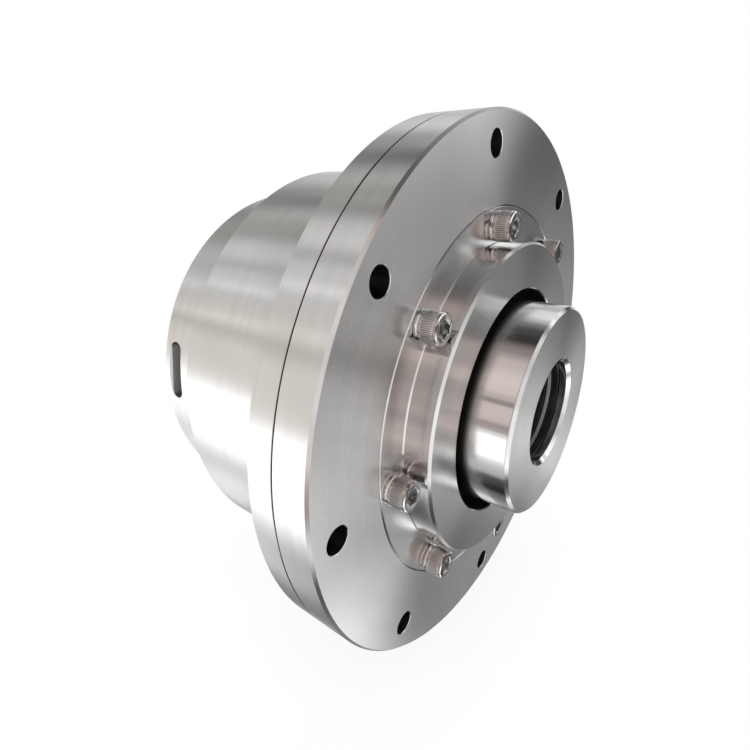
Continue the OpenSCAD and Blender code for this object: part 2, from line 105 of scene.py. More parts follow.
class Tree:
    """Short way to add nodes to a tree and to link their sockets."""

    def __init__(self, tree: bpy.types.NodeTree) -> None:
        """Keeps the tree that nodes are added to."""
        self.tree = tree

    def add(self, kind: str, settings: Optional[dict] = None, **inputs: object) -> bpy.types.Node:
        """Adds a node and fills its inputs.

        Args:
            kind: the node's type name.
            settings: values of the node's own properties.
            inputs: socket name, with spaces as underscores, or in_N for socket number N, and its
                value or the output socket that feeds it.

        Returns:
            The new node.
        """
        node = self.tree.nodes.new(kind)
        for name, value in (settings or {}).items():
            setattr(node, name, value)
        for name, value in inputs.items():
            if name.startswith("in_"):
                socket = node.inputs[int(name[3:])]
            else:
                socket = node.inputs[name.replace("_", " ")]
            if isinstance(value, Socket):
                self.tree.links.new(value, socket)
            else:
                socket.default_value = value
        return node

    def use(self, group: bpy.types.NodeTree, **inputs: object) -> bpy.types.bpy_prop_collection:
        """Adds a shader group, fills its inputs as add does, and returns its outputs."""
        return self.add("ShaderNodeGroup", {"node_tree": group}, **inputs).outputs

    def surface(self, **inputs: object) -> None:
        """Adds a Principled BSDF with these inputs and the material's output."""
        shader = self.add("ShaderNodeBsdfPrincipled", **inputs)
        self.add("ShaderNodeOutputMaterial", Surface=shader.outputs["BSDF"])

    def math(self, operation: str, first: object, second: object = 0.0) -> Socket:
        """Adds a Math node in a shader or geometry tree and returns its output."""
        node = self.add("ShaderNodeMath", {"operation": operation}, in_0=first, in_1=second)
        return node.outputs[0]

    def vector(self, operation: str, **inputs: object) -> Socket:
        """Adds a Vector Math node and returns its vector."""
        return self.add("ShaderNodeVectorMath", {"operation": operation}, **inputs).outputs[0]

    def length(self, first: Socket, second: Socket) -> Socket:
        """Gives the length of a vector in a plane from its two parts."""
        squares = self.math("ADD", self.math("MULTIPLY", first, first), self.math("MULTIPLY", second, second))
        return self.math("SQRT", squares)

    def turn_share(self, rise: Socket, side: Socket) -> Socket:
        """Gives the bearing of a vector in a plane as a share of a turn, from 0 to 1."""
        share = self.math("DIVIDE", self.math("ARCTAN2", rise, side), TURN)
        return self.math("FRACT", self.math("ADD", share, 1.0))

    def remap(self, value: object, source: Point, target: Point) -> Socket:
        """Maps a value smoothly from one range to another.

        Args:
            value: the value or socket to map.
            source: start and end of the range it comes from.
            target: what they become.

        Returns:
            The socket with the mapped value.
        """
        node = self.add("ShaderNodeMapRange", {"interpolation_type": "SMOOTHSTEP"}, Value=value)
        for name, number in zip(("From Min", "From Max", "To Min", "To Max"), (*source, *target)):
            node.inputs[name].default_value = number
        return node.outputs["Result"]

    def mix_colour(self, share: object, first: object, second: object) -> Socket:
        """Mixes two colours.

        Args:
            share: how much of the second colour there is.
            first: colour at a share of 0.
            second: colour at a share of 1.

        Returns:
            The socket with the mixed colour.
        """
        node = self.add("ShaderNodeMix", {"data_type": "RGBA"})
        for index, value in ((0, share), (6, first), (7, second)):
            socket = node.inputs[index]
            if isinstance(value, Socket):
                self.tree.links.new(value, socket)
            elif index:
                socket.default_value = (*value, 1.0)
            else:
                socket.default_value = value
        return node.outputs[2]

    def place(self) -> Socket:
        """Gives the place on the object, in metres."""
        return self.add("ShaderNodeTexCoord").outputs["Object"]

    def along_axis(self) -> Socket:
        """Gives how far the surface faces along X, from 0 to 1."""
        normal = self.add("ShaderNodeSeparateXYZ", in_0=self.add("ShaderNodeTexCoord").outputs["Normal"])
        return self.math("ABSOLUTE", normal.outputs["X"])

    def noise(self, place: Socket, scale: object, detail: float, roughness: float = 0.5) -> Socket:
        """Gives a noise between 0 and 1 at a place."""
        settings = {"Vector": place, "Scale": scale, "Detail": detail, "Roughness": roughness}
        return self.add("ShaderNodeTexNoise", **settings).outputs["Fac"]

    def bump(self, height: Socket, strength: float, depth: float) -> Socket:
        """Gives the normal of a relief with that depth in millimetres."""
        node = self.add("ShaderNodeBump", Height=height, Strength=strength, Distance=depth * MM)
        return node.outputs["Normal"]


def new_group(name: str, kind: str, inputs: Sequence[tuple], outputs: Sequence[tuple]) -> tuple:
    """Makes a node group with named sockets.

    Args:
        name: the group's name.
        kind: ShaderNodeTree or GeometryNodeTree.
        inputs: (name, socket type, default or None) of each input.
        outputs: (name, socket type) of each output.

    Returns:
        The group's tree and the outputs of its Group Input node.
    """
    tree = bpy.data.node_groups.new(name, kind)
    for label, socket, default in inputs:
        made = tree.interface.new_socket(label, in_out="INPUT", socket_type=socket)
        if default is not None:
            made.default_value = default
    for label, socket in outputs:
        tree.interface.new_socket(label, in_out="OUTPUT", socket_type=socket)
    group = Tree(tree)
    return group, group.add("NodeGroupInput").outputs


def shader_group(name: str, inputs: dict[str, float], outputs: Sequence[str]) -> tuple:
    """Makes a shader group whose sockets are all plain numbers.

    Args:
        name: the group's name.
        inputs: name and default of each input.
        outputs: name of each output.

    Returns:
        The group's tree and the outputs of its Group Input node.
    """
    number = "NodeSocketFloat"
    given = [(label, number, default) for label, default in inputs.items()]
    return new_group(name, "ShaderNodeTree", given, [(label, number) for label in outputs])


# Surface effects


class Effects:
    """Shader groups that several finishes share, each built once."""

    RUNOUT_SCALE = 10.0
    STREAK_SCALE = 0.16
    HOLE_EDGE = (0.02, 0.14)
    FILM_SPAN = (0.38, 0.72)

    def __init__(self) -> None:
        """Builds the groups."""
        self.turning = self._turning_marks()
        self.handling = self._handling()
        self.hollow = self._hollow()
        self.round_row = self._round_row()
        self.drilled = self._drilled()

    @staticmethod
    def _polar(group: Tree) -> tuple[Socket, Socket, Socket]:
        """Adds nodes that give X and the radius in millimetres, and the bearing about X in radians."""
        x, y, z = group.add("ShaderNodeSeparateXYZ", in_0=group.place()).outputs
        radius = group.math("MULTIPLY", group.length(y, z), 1.0 / MM)
        return group.math("MULTIPLY", x, 1.0 / MM), radius, group.math("ARCTAN2", z, y)

    def _turning_marks(self) -> bpy.types.NodeTree:
        """Fine rings that a lathe tool leaves, on faces by radius and on sides by place along X.

        Returns:
            The group, which puts out a height and a slow streak mask.
        """
        sizes = {"Pitch": 0.4, "Runout": 0.02, "Seed": 0.0}
        group, given = shader_group("TurningMarks", sizes, ("Height", "Streaks"))
        along, radius, bearing = self._polar(group)
        around = group.add(
            "ShaderNodeCombineXYZ", X=group.math("COSINE", bearing), Y=group.math("SINE", bearing)
        ).outputs[0]
        per_mm = group.math("DIVIDE", 1.0, given["Pitch"])
        rings = group.add(
            "ShaderNodeCombineXYZ",
            X=group.math("MULTIPLY", radius, per_mm),
            Y=group.math("MULTIPLY", along, per_mm),
            Z=given["Seed"],
        ).outputs[0]
        runout = group.math("MULTIPLY", given["Runout"], self.RUNOUT_SCALE)
        drift = group.vector("SCALE", in_0=around, Scale=runout)
        moved = group.vector("ADD", in_0=rings, in_1=drift)
        slow = group.vector("SCALE", in_0=moved, Scale=self.STREAK_SCALE)
        group.add(
            "NodeGroupOutput",
            Height=group.noise(moved, 1.0, 2.0, 0.55),
            Streaks=group.noise(slow, 1.0, 3.0, 0.6),
        )
        return group.tree

    def _hollow(self) -> bpy.types.NodeTree:
        """Mask of a ring-shaped place, given by X and radius, where the metal gets painted shade or a wider
        spread.

        Returns:
            The group, which puts out 1 inside and fades to 0 outside.
        """
        sizes = dict.fromkeys(("From X", "To X", "From R", "To R", "Soft"), 1.0)
        group, given = shader_group("Hollow", sizes, ("Mask",))
        along, radius, _ = self._polar(group)
        past = [
            group.math(
                "MAXIMUM",
                group.math("SUBTRACT", given[f"From {label}"], value),
                group.math("SUBTRACT", value, given[f"To {label}"]),
            )
            for label, value in (("X", along), ("R", radius))
        ]
        share = group.math("DIVIDE", group.math("MAXIMUM", *past), given["Soft"])
        group.add("NodeGroupOutput", Mask=group.remap(share, UP, DOWN))
        return group.tree

    def _round_row(self) -> bpy.types.NodeTree:
        """Distance from the nearest of the axes that stand on a circle round the shaft axis.

        Returns:
            The group, which puts out that distance in millimetres.
        """
        group, given = shader_group("RoundRow", dict.fromkeys(("Circle", "Count", "Turn"), 1.0), ("Away",))
        _, radius, bearing = self._polar(group)
        step = group.math("DIVIDE", TURN, given["Count"])
        past = group.math("SUBTRACT", bearing, given["Turn"])
        nearest = group.math("MULTIPLY", group.math("ROUND", group.math("DIVIDE", past, step)), step)
        local = group.math("SUBTRACT", past, nearest)
        level = group.math("MULTIPLY", group.math("COSINE", local), radius)
        out = group.math("SUBTRACT", level, given["Circle"])
        side = group.math("MULTIPLY", group.math("SINE", local), radius)
        group.add("NodeGroupOutput", Away=group.length(out, side))
        return group.tree

    def _drilled(self) -> bpy.types.NodeTree:
        """Mask of the walls of holes that stand on a circle round the axis.

        Returns:
            The group, which puts out 1 inside the holes.
        """
        sizes = dict.fromkeys(("Circle", "Hole", "Count", "Turn"), 1.0)
        group, given = shader_group("Drilled", sizes, ("Mask",))
        row = group.use(self.round_row, Circle=given["Circle"], Count=given["Count"], Turn=given["Turn"])
        beyond = group.math("SUBTRACT", row["Away"], given["Hole"])
        group.add("NodeGroupOutput", Mask=group.remap(beyond, self.HOLE_EDGE, DOWN))
        return group.tree

    def _handling(self) -> bpy.types.NodeTree:
        """Faint cloudy film from handling and wiping.

        Returns:
            The group, which puts out a film mask.
        """
        group, given = shader_group("Handling", {"Size": 30.0, "Seed": 0.0}, ("Film",))
        shift = group.add("ShaderNodeCombineXYZ", X=given["Seed"])
        moved = group.vector("ADD", in_0=group.place(), in_1=shift.outputs[0])
        cloud = group.noise(moved, given["Size"], 1.5, 0.4)
        group.add("NodeGroupOutput", Film=group.remap(cloud, self.FILM_SPAN, UP))
        return group.tree


# Finishes


@dataclass(frozen=True)
class Hollow:
    """Ring-shaped place on a turned piece, from one X and radius to another."""

    from_x: float  # lowest X
    to_x: float  # highest X
    from_r: float  # smallest radius
    to_r: float  # largest radius
    soft: float = 0.15  # width over which it fades out

    def mask(self, tree: Tree, effects: Effects) -> Socket:
        """Adds the nodes of its mask to a material's tree."""
        ends = {"From X": self.from_x, "To X": self.to_x, "From R": self.from_r, "To R": self.to_r}
        return tree.use(effects.hollow, Soft=self.soft, **ends)["Mask"]


@dataclass(frozen=True)
class Row:
    """Places of equal pieces or holes on a circle round the shaft axis."""

    circle: float  # radius of the circle
    count: int  # number of them
    turn: float  # angle of the first one above +Y, in degrees
    x: float = 0.0  # their place along the axis

    def inputs(self) -> dict[str, float]:
        """Gives the inputs that the shader groups of rows share."""
        return {"Circle": self.circle, "Count": self.count, "Turn": math.radians(self.turn)}


@dataclass(frozen=True)
class Holes:
    """Row of drilled holes whose walls get painted shade."""

    row: Row  # where they are
    radius: float  # radius of a hole

    def mask(self, tree: Tree, effects: Effects) -> Socket:
        """Adds the nodes of its mask to a material's tree."""
        return tree.use(effects.drilled, Hole=self.radius, **self.row.inputs())["Mask"]


def joined(tree: Tree, effects: Effects, places: Sequence[Union[Hollow, Holes]]) -> object:
    """Joins the masks of places.

    Args:
        tree: the material's tree.
        effects: the shared shader groups.
        places: the places.

    Returns:
        The socket with the joined mask, or 0 where there are no places.
    """
    mask: object = 0.0
    for place in places:
        mask = tree.math("MAXIMUM", mask, place.mask(tree, effects))
    return mask


def blank_material(name: str) -> tuple[bpy.types.Material, Tree]:
    """Makes a material without nodes.

    Args:
        name: the material's name.

    Returns:
        The material and its empty tree.
    """
    made = bpy.data.materials.new(name)
    made.use_nodes = True
    made.node_tree.nodes.clear()
    return made, Tree(made.node_tree)


@dataclass(frozen=True)
class TurnedSteel:
    """Bright stainless steel off the lathe."""

    name: str  # the material's name
    colour: Colour = (0.885, 0.88, 0.874)  # reflectance of the metal
    stain: Colour = (0.74, 0.735, 0.728)  # colour of the faint film on it
    roughness: float = 0.17  # how wide the reflections spread on turned sides
    face_roughness: float = 0.3  # the same on faces square to the axis
    depth: float = 0.0008  # depth of the tool marks as bump distance
    seed: float = 0.0  # place in the noise, so that pieces differ
    dark: tuple[Union[Hollow, Holes], ...] = ()  # hollows, holes and gaps between parts that get painted shade
    matt: tuple[Hollow, ...] = ()  # where the reflections spread much more
    painted_shade: Colour = (0.05, 0.047, 0.044)  # colour of the painted shade there
    spread: float = 0.03  # extra spread where the film lies
    painted_shade_spread: float = 0.2  # extra spread where the painted shade lies
    matt_spread: float = 0.5  # extra spread where it is matt
    film: float = 0.6  # share of the stain where the film is full
    streak: float = 0.28  # share of the stain in the broad streaks between tool marks
    anisotropy: float = 0.93  # how much more the reflections spread across the tool marks
    pitch: float = 0.5  # distance between tool marks
    relief: float = 0.35  # strength of the tool marks' bump

    def material(self, effects: Effects) -> bpy.types.Material:
        """Builds the node material.

        Args:
            effects: the shared shader groups.

        Returns:
            The finished material.
        """
        made, tree = blank_material(self.name)
        marks = tree.use(effects.turning, Pitch=self.pitch, Seed=self.seed)
        film = tree.use(effects.handling, Seed=self.seed)["Film"]
        streak = tree.remap(marks["Streaks"], STREAK_SPAN, (0.0, self.streak))
        tone = tree.math("MAXIMUM", tree.math("MULTIPLY", film, self.film), streak)
        # Painted shade: hollows, holes and gaps between parts are darkened to the shade colour.
        painted_shade_mask = joined(tree, effects, self.dark)
        matt = joined(tree, effects, self.matt)
        rough = tree.math("MULTIPLY", film, self.spread)
        for mask, spread in ((painted_shade_mask, self.painted_shade_spread), (matt, self.matt_spread), (streak, self.spread)):
            rough = tree.math("ADD", rough, tree.math("MULTIPLY", mask, spread))
        base = tree.remap(tree.along_axis(), FACE_SPAN, (self.roughness, self.face_roughness))
        around = tree.add("ShaderNodeTangent", {"direction_type": "RADIAL", "axis": "X"})
        tree.surface(
            Base_Color=tree.mix_colour(painted_shade_mask, tree.mix_colour(tone, self.colour, self.stain), self.painted_shade),
            Roughness=tree.math("ADD", rough, base),
            Normal=tree.bump(marks["Height"], self.relief, self.depth),
            Metallic=1.0,
            Anisotropic=self.anisotropy,
            Anisotropic_Rotation=QUARTER_TURN,
            Tangent=around.outputs["Tangent"],
        )
        return made


@dataclass(frozen=True)
class Heads:
    """Row of cap screws along X, whose knurls get painted shade between the ridges."""

    row: Row  # where they are
    radius: float  # radius of a head
    knurl: float  # depth of the knurl round a head

    def mask(self, tree: Tree, effects: Effects) -> Socket:
        """Makes the mask of the painted shade in the hollows between the ridges.

        Args:
            tree: the material's tree.
            effects: the shared shader groups.

        Returns:
            The socket with the mask.
        """
        away = tree.use(effects.round_row, **self.row.inputs())["Away"]
        hollow = tree.remap(away, (self.radius - self.knurl, self.radius - self.knurl * 0.2), DOWN)
        side = tree.remap(tree.along_axis(), SIDE_SPAN, DOWN)
        outside = tree.math("GREATER_THAN", away, self.radius * 0.95)
        return tree.math("MULTIPLY", tree.math("MULTIPLY", hollow, side), outside)


@dataclass(frozen=True)
class Grained:
    """Finish with a fine grain and a cloudy film."""

    name: str  # the material's name
    colour: Colour  # colour of the clean surface
    stain: Colour  # colour of the film on it
    roughness: float  # how wide the reflections spread
    film: float  # share of the stain where the film is full
    film_size: float  # scale of the film's clouds
    film_spread: float  # extra spread where the film is full
    grain: float  # size of the surface grain
    detail: float  # octaves of the grain
    depth: float  # depth of the grain
    relief: float  # strength of its bump
    metallic: float = 0.0  # 1 for metal, else 0
    coat: float = 0.0  # weight of a thin film of grease

    def tone(self, tree: Tree, effects: Effects, film: Socket) -> Socket:
        """Gives the surface's colour under the film."""
        return tree.mix_colour(tree.math("MULTIPLY", film, self.film), self.colour, self.stain)

    def material(self, effects: Effects) -> bpy.types.Material:
        """Builds the node material.

        Args:
            effects: the shared shader groups.

        Returns:
            The finished material.
        """
        made, tree = blank_material(self.name)
        film = tree.use(effects.handling, Size=self.film_size)["Film"]
        grain = tree.noise(tree.place(), 1.0 / (self.grain * MM), self.detail)
        tree.surface(
            Base_Color=self.tone(tree, effects, film),
            Roughness=tree.math("ADD", tree.math("MULTIPLY", film, self.film_spread), self.roughness),
            Normal=tree.bump(grain, self.relief, self.depth),
            Metallic=self.metallic,
            Coat_Weight=self.coat,
            Coat_Roughness=0.12,
        )
        return made


@dataclass(frozen=True)
class DrawnSteel(Grained):
    """Steel of fasteners, pins, springs and snap rings."""

    colour: Colour = (0.66, 0.65, 0.64)
    stain: Colour = (0.42, 0.40, 0.385)
    roughness: float = 0.24
    film: float = 0.7
    film_size: float = 90.0
    film_spread: float = 0.1
    grain: float = 0.5
    detail: float = 3.0
    depth: float = 0.01
    relief: float = 0.3
    metallic: float = 1.0
    side: Colour = (0.36, 0.335, 0.325)  # colour of the painted shade between the ridges of knurled heads
    heads: Optional[Heads] = None  # the row of heads, for screws

    def tone(self, tree: Tree, effects: Effects, film: Socket) -> Socket:
        """Gives the colour under the film, with painted shade between the ridges of heads.

        Args:
            tree: the material's tree.
            effects: the shared shader groups.
            film: the mask of the film.

        Returns:
            The colour socket.
        """
        colour = super().tone(tree, effects, film)
        if self.heads:
            colour = tree.mix_colour(self.heads.mask(tree, effects), colour, self.side)
        return colour


@dataclass(frozen=True)
class MouldedBlack(Grained):
    """Black rubber, carbon or ceramic, matt to satin, with faint dust."""

    colour: Colour = (0.012, 0.012, 0.013)
    stain: Colour = (0.05, 0.048, 0.046)
    roughness: float = 0.42
    film: float = 0.5
    film_size: float = 120.0
    film_spread: float = 0.15
    grain: float = 0.4
    detail: float = 2.0
    depth: float = 0.02
    relief: float = 0.4


class Finishes:
    """Every material of the seal, by name of its use."""

    def __init__(self, p: "Planes") -> None:
        """Builds the shared effects and the materials.

        Args:
            p: planes and radii that the painted shade in the hollows follows.
        """
        effects = Effects()
        # Painted shade: the bolt holes' walls, the seam and pocket between parts, the chambers, the gap round
        # the nose, the deep bore and the nose's foot in that gap are darkened; the bore's wall only gets more
        # spread.
        bolts = Holes(p.bolts, p.bolt_r)
        head_r = 5.0
        seam = Hollow(p.seam - 0.18, p.seam + 0.18, p.flange_r - 1.5, p.flange_r + 1.0)
        pocket = Hollow(p.seam, p.face - 0.3, p.insert_r - 0.02, p.insert_r + 0.2, 0.06)
        chamber = Hollow(p.rear - 5.0, p.seam, 0.0, p.chamber_r + 0.5, 0.4)
        gap = Hollow(p.rear, p.boss - 0.5, 0.0, p.boss_bore_r + 0.3, 0.3)
        inside = Hollow(p.rear + 4.0, p.seam, 0.0, p.chamber_r + 0.5, 3.0)
        deep = Hollow(p.rear, p.nose - 36.0, 0.0, p.bore_r + 1.0, 6.0)
        wall = Hollow(p.rear, p.nose - 4.0, 0.0, p.bore_r + 0.4, 0.4)
        root = Hollow(p.rear, p.boss - 0.6, p.bore_r + 3.0, p.nose_r + 1.0, 4.5)
        # Painted shade between the ridges of the screws' knurls.
        heads = Heads(Row(SCREW_CIRCLE_R, p.bolts.count, PATTERN_TURN), head_r, KNURL_DEPTH)
        polished = {"roughness": 0.1, "depth": 0.0004}
        finishes = {
            "housing": TurnedSteel("steel_barrel", seed=1.0, dark=(seam, chamber, bolts)),
            "cover": TurnedSteel("steel_cover", face_roughness=0.27, seed=4.0, dark=(seam, pocket, bolts)),
            "insert": TurnedSteel(
                "steel_insert", face_roughness=0.22, seed=9.0, dark=(pocket, gap), **polished
            ),
            "rear": TurnedSteel("steel_rear_ring", roughness=0.22, seed=13.0, dark=(inside,)),
            "sleeve": TurnedSteel(
                "steel_sleeve", face_roughness=0.23, seed=17.0, dark=(deep, root), matt=(wall,), **polished
            ),
            "collar": TurnedSteel("steel_collar", roughness=0.3, seed=21.0),
            "screw": DrawnSteel("steel_screws", (0.79, 0.785, 0.78), (0.5, 0.475, 0.465), 0.14, heads=heads),
            "plain_screw": DrawnSteel("steel_small_screws", stain=(0.5, 0.45, 0.43)),
            "washer": DrawnSteel("steel_washers", (0.85, 0.82, 0.81), (0.5, 0.46, 0.45), 0.14),
            "pin": DrawnSteel("steel_pins", roughness=0.15),
            "spring": DrawnSteel("steel_springs", roughness=0.3),
            "snap_ring": DrawnSteel("steel_snap_rings", (0.16, 0.155, 0.15), (0.07, 0.068, 0.065), 0.4),
            "rubber": MouldedBlack("rubber_rings"),
            "bore_rubber": MouldedBlack("rubber_bore", roughness=0.3, coat=0.5),
            "carbon": MouldedBlack("carbon_face", (0.03, 0.03, 0.032), roughness=0.3),
            "bush": MouldedBlack("carbon_bush", (0.012, 0.012, 0.012), roughness=0.55),
            "ceramic": MouldedBlack("ceramic_seat", (0.09, 0.095, 0.1), roughness=0.2, coat=0.3),
        }
        self._made = {use: finish.material(effects) for use, finish in finishes.items()}

    def __getitem__(self, use: str) -> bpy.types.Material:
        """Gives the material of a use."""
        return self._made[use]


# Mesh making


def mesh_object(name: str, mesh: bpy.types.Mesh) -> Piece:
    """Puts a mesh in the scene as an object at the origin.

    Args:
        name: the object's name.
        mesh: its mesh.

    Returns:
        The object.
    """
    made = bpy.data.objects.new(name, mesh)
    bpy.context.scene.collection.objects.link(made)
    return made


def smooth_mesh(mesh: bpy.types.Mesh) -> None:
    """Shades a mesh smoothly, with sharp edges where faces meet at more than the smooth angle."""
    mesh.shade_smooth()
    mesh.set_sharp_from_angle(angle=SMOOTH_ANGLE)


def round_ring(radius: float, angle: float) -> float:
    """Form of a round ring, whose radius is the same at every angle."""
    return radius


def hexagon(radius: float, angle: float) -> float:
    """Form of a hexagon that is twice the radius across its flats."""
    side = TURN / 6
    return radius / math.cos(angle % side - side / 2)


def ring(steps: int, radius: float, x: float, form: Form = round_ring) -> list[Vector]:
    """Points round the shaft axis.

    Args:
        steps: number of points.
        radius: radius of the ring.
        x: its place along the axis.
        form: gives the distance from the axis for the radius and an angle in radians.

    Returns:
        The points in order, in metres.
    """
    points = []
    for k in range(steps):
        angle = TURN * k / steps
        away = form(radius, angle)
        points.append(Vector((x, away * math.cos(angle), away * math.sin(angle))) * MM)
    return points


def upright(points: Sequence[Vector]) -> list[Vector]:
    """Swaps X and Y, so that a ring round X stands round Y."""
    return [Vector((point.y, point.x, point.z)) for point in points]


def loft(name: str, rings: Sequence[Sequence[Vector]], closed: bool = False) -> Piece:
    """Joins rings of points into a closed skin.

    Args:
        name: the object's name.
        rings: rings with as many points each, in metres.
        closed: True if the last ring joins the first, as on a turned ring with a hole.

    Returns:
        The new object. Where the rings don't join up, both ends get a flat cap.
    """
    count = len(rings[0])
    verts = [tuple(point) for points in rings for point in points]
    spans = len(rings) if closed else len(rings) - 1
    faces = []
    for i in range(spans):
        low, high = i * count, (i + 1) % len(rings) * count
        for k in range(count):
            n = (k + 1) % count
            faces.append((low + k, low + n, high + n, high + k))
    if not closed:
        faces.append(tuple(range(count)))
        faces.append(tuple(reversed(range(len(verts) - count, len(verts)))))
    mesh = bpy.data.meshes.new(name)
    mesh.from_pydata(verts, [], faces)
    work = bmesh.new()
    work.from_mesh(mesh)
    bmesh.ops.remove_doubles(work, verts=work.verts, dist=SAME_POINT)
    bmesh.ops.dissolve_degenerate(work, dist=SAME_POINT, edges=work.edges)
    bmesh.ops.recalc_face_normals(work, faces=work.faces)
    work.to_mesh(mesh)
    work.free()
    smooth_mesh(mesh)
    return mesh_object(name, mesh)


def turned(name: str, outline: Sequence[Point]) -> Piece:
    """Turns a closed outline about X into a ring-shaped object."""
    return loft(name, [ring(LATHE_STEPS, *point) for point in outline], closed=True)


def drill(name: str, radius: float, start: float, end: float, flare: float = 0.0) -> Piece:
    """Makes a round cutter along X, wider by the flare where it meets both surfaces.

    Args:
        name: the object's name.
        radius: radius of the hole.
        start: x of the surface where the hole begins.
        end: x of the surface where it ends.
        flare: size of the small chamfer at both mouths.

    Returns:
        The cutter, centred on the X axis.
    """
    wide = radius + flare
    outline = [
        (wide, start - DRILL_OVER), (wide, start), (radius, start + flare),
        (radius, end - flare), (wide, end), (wide, end + DRILL_OVER),
    ]
    return loft(name, [ring(FINE_STEPS, *point) for point in outline])


def slot_points(half: float, end: float, arc_steps: int = 12) -> list[Point]:
    """Points round a slot with round ends, long in its second coordinate.

    Args:
        half: half of the slot's length.
        end: radius of its ends.
        arc_steps: steps of each end's arc.

    Returns:
        (across, along) points, in order.
    """
    points = []
    for side, start in ((1, 0.0), (-1, math.pi)):
        for k in range(arc_steps + 1):
            angle = start + math.pi * k / arc_steps
            points.append((end * math.cos(angle), side * (half - end) + end * math.sin(angle)))
    return points


def join(name: str, pieces: Sequence[Piece]) -> Piece:
    """Joins objects into one plain mesh object.

    Args:
        name: the new object's name.
        pieces: the objects, which are removed.

    Returns:
        The joined object.
    """
    work = bmesh.new()
    for piece in pieces:
        work.from_mesh(piece.data)
        bpy.data.objects.remove(piece)
    mesh = bpy.data.meshes.new(name)
    work.to_mesh(mesh)
    work.free()
    smooth_mesh(mesh)
    return mesh_object(name, mesh)


# Geometry Nodes for what repeats


class Pattern:
    """Geometry Nodes that set copies of a piece round the shaft axis, or cut them out of a blank."""

    def __init__(self) -> None:
        """Builds the two node trees."""
        self.copies = self._tree("CopiesRound", cut=False)
        self.cuts = self._tree("CutsRound", cut=True)

    @staticmethod
    def _tree(name: str, cut: bool) -> bpy.types.NodeTree:
        """Makes a tree that gives copies round the axis, or the blank without them.

        Args:
            name: the tree's name.
            cut: True to cut the copies out of the object that carries the tree.

        Returns:
            The tree, with named inputs for its sizes.
        """
        inputs = [
            ("Geometry", "NodeSocketGeometry", None),
            ("Piece", "NodeSocketObject", None),
            ("Count", "NodeSocketInt", 8),
            ("Radius", "NodeSocketFloat", 0.05),
            ("Turn", "NodeSocketFloat", 0.0),
            ("Shift", "NodeSocketFloat", 0.0),
            ("Material", "NodeSocketMaterial", None),
        ]
        group, given = new_group(name, "GeometryNodeTree", inputs, [("Geometry", "NodeSocketGeometry")])
        points = group.add("GeometryNodePoints", Count=given["Count"])
        share = group.math("DIVIDE", group.add("GeometryNodeInputIndex").outputs[0], given["Count"])
        angle = group.math("ADD", group.math("MULTIPLY", share, TURN), given["Turn"])
        place = group.add(
            "ShaderNodeCombineXYZ",
            X=given["Shift"],
            Y=group.math("MULTIPLY", group.math("COSINE", angle), given["Radius"]),
            Z=group.math("MULTIPLY", group.math("SINE", angle), given["Radius"]),
        )
        placed = group.add("GeometryNodeSetPosition", Geometry=points.outputs[0], Position=place.outputs[0])
        turn = group.add(
            "FunctionNodeEulerToRotation", in_0=group.add("ShaderNodeCombineXYZ", X=angle).outputs[0]
        )
        piece = group.add("GeometryNodeObjectInfo", {"transform_space": "ORIGINAL"}, Object=given["Piece"])
        copied = group.add(
            "GeometryNodeInstanceOnPoints",
            Points=placed.outputs[0],
            Instance=piece.outputs["Geometry"],
            Rotation=turn.outputs[0],
        )
        made = group.add("GeometryNodeRealizeInstances", Geometry=copied.outputs[0]).outputs[0]
        if cut:
            settings = {"operation": "DIFFERENCE", "solver": "EXACT"}
            sides = {"Mesh 1": given["Geometry"], "Mesh 2": made}
            made = group.add("GeometryNodeMeshBoolean", settings, **sides).outputs[0]
        dressed = group.add("GeometryNodeSetMaterial", Geometry=made, Material=given["Material"])
        group.add("NodeGroupOutput", Geometry=dressed.outputs[0])
        return group.tree

    @staticmethod
    def _run(
        base: Piece, tree: bpy.types.NodeTree, piece: Piece, row: Row, material: bpy.types.Material
    ) -> None:
        """Runs a tree on an object, turns the result into its plain mesh and removes the repeated piece.

        Args:
            base: the object that holds the blank, or an empty mesh.
            tree: the node tree.
            piece: the piece that repeats, at the origin, its outward side on +Y.
            row: where it goes.
            material: the material of the result.
        """
        values = {
            "Piece": piece,
            "Count": row.count,
            "Radius": row.circle * MM,
            "Turn": math.radians(row.turn),
            "Shift": row.x * MM,
            "Material": material,
        }
        modifier = base.modifiers.new("pattern", "NODES")
        modifier.node_group = tree
        for item in tree.interface.items_tree:
            if item.item_type == "SOCKET" and item.in_out == "INPUT" and item.name in values:
                modifier[item.identifier] = values[item.name]
        base.update_tag()
        bpy.context.view_layer.update()
        graph = bpy.context.evaluated_depsgraph_get()
        result = bpy.data.meshes.new_from_object(base.evaluated_get(graph), depsgraph=graph)
        base.modifiers.remove(modifier)
        old = base.data
        base.data = result
        result.name = base.name
        bpy.data.meshes.remove(old)
        bpy.data.objects.remove(piece)
        smooth_mesh(result)

    def round_copies(self, name: str, piece: Piece, row: Row, material: bpy.types.Material) -> Piece:
        """Sets copies of a piece in a row and removes the piece.

        Args:
            name: the new object's name.
            piece: the piece at the origin, its outward side on +Y.
            row: where the copies go.
            material: the material they get.

        Returns:
            All the copies as one plain mesh object.
        """
        made = mesh_object(name, bpy.data.meshes.new(name))
        self._run(made, self.copies, piece, row, material)
        return made

    def round_cuts(self, blank: Piece, cutter: Piece, row: Row, material: bpy.types.Material) -> None:
        """Cuts copies of a cutter out of a blank and removes the cutter.

        Args:
            blank: the closed mesh object that is cut.
            cutter: the cutter at the origin, its outward side on +Y.
            row: where the cuts go.
            material: the material of the blank.
        """
        self._run(blank, self.cuts, cutter, row, material)


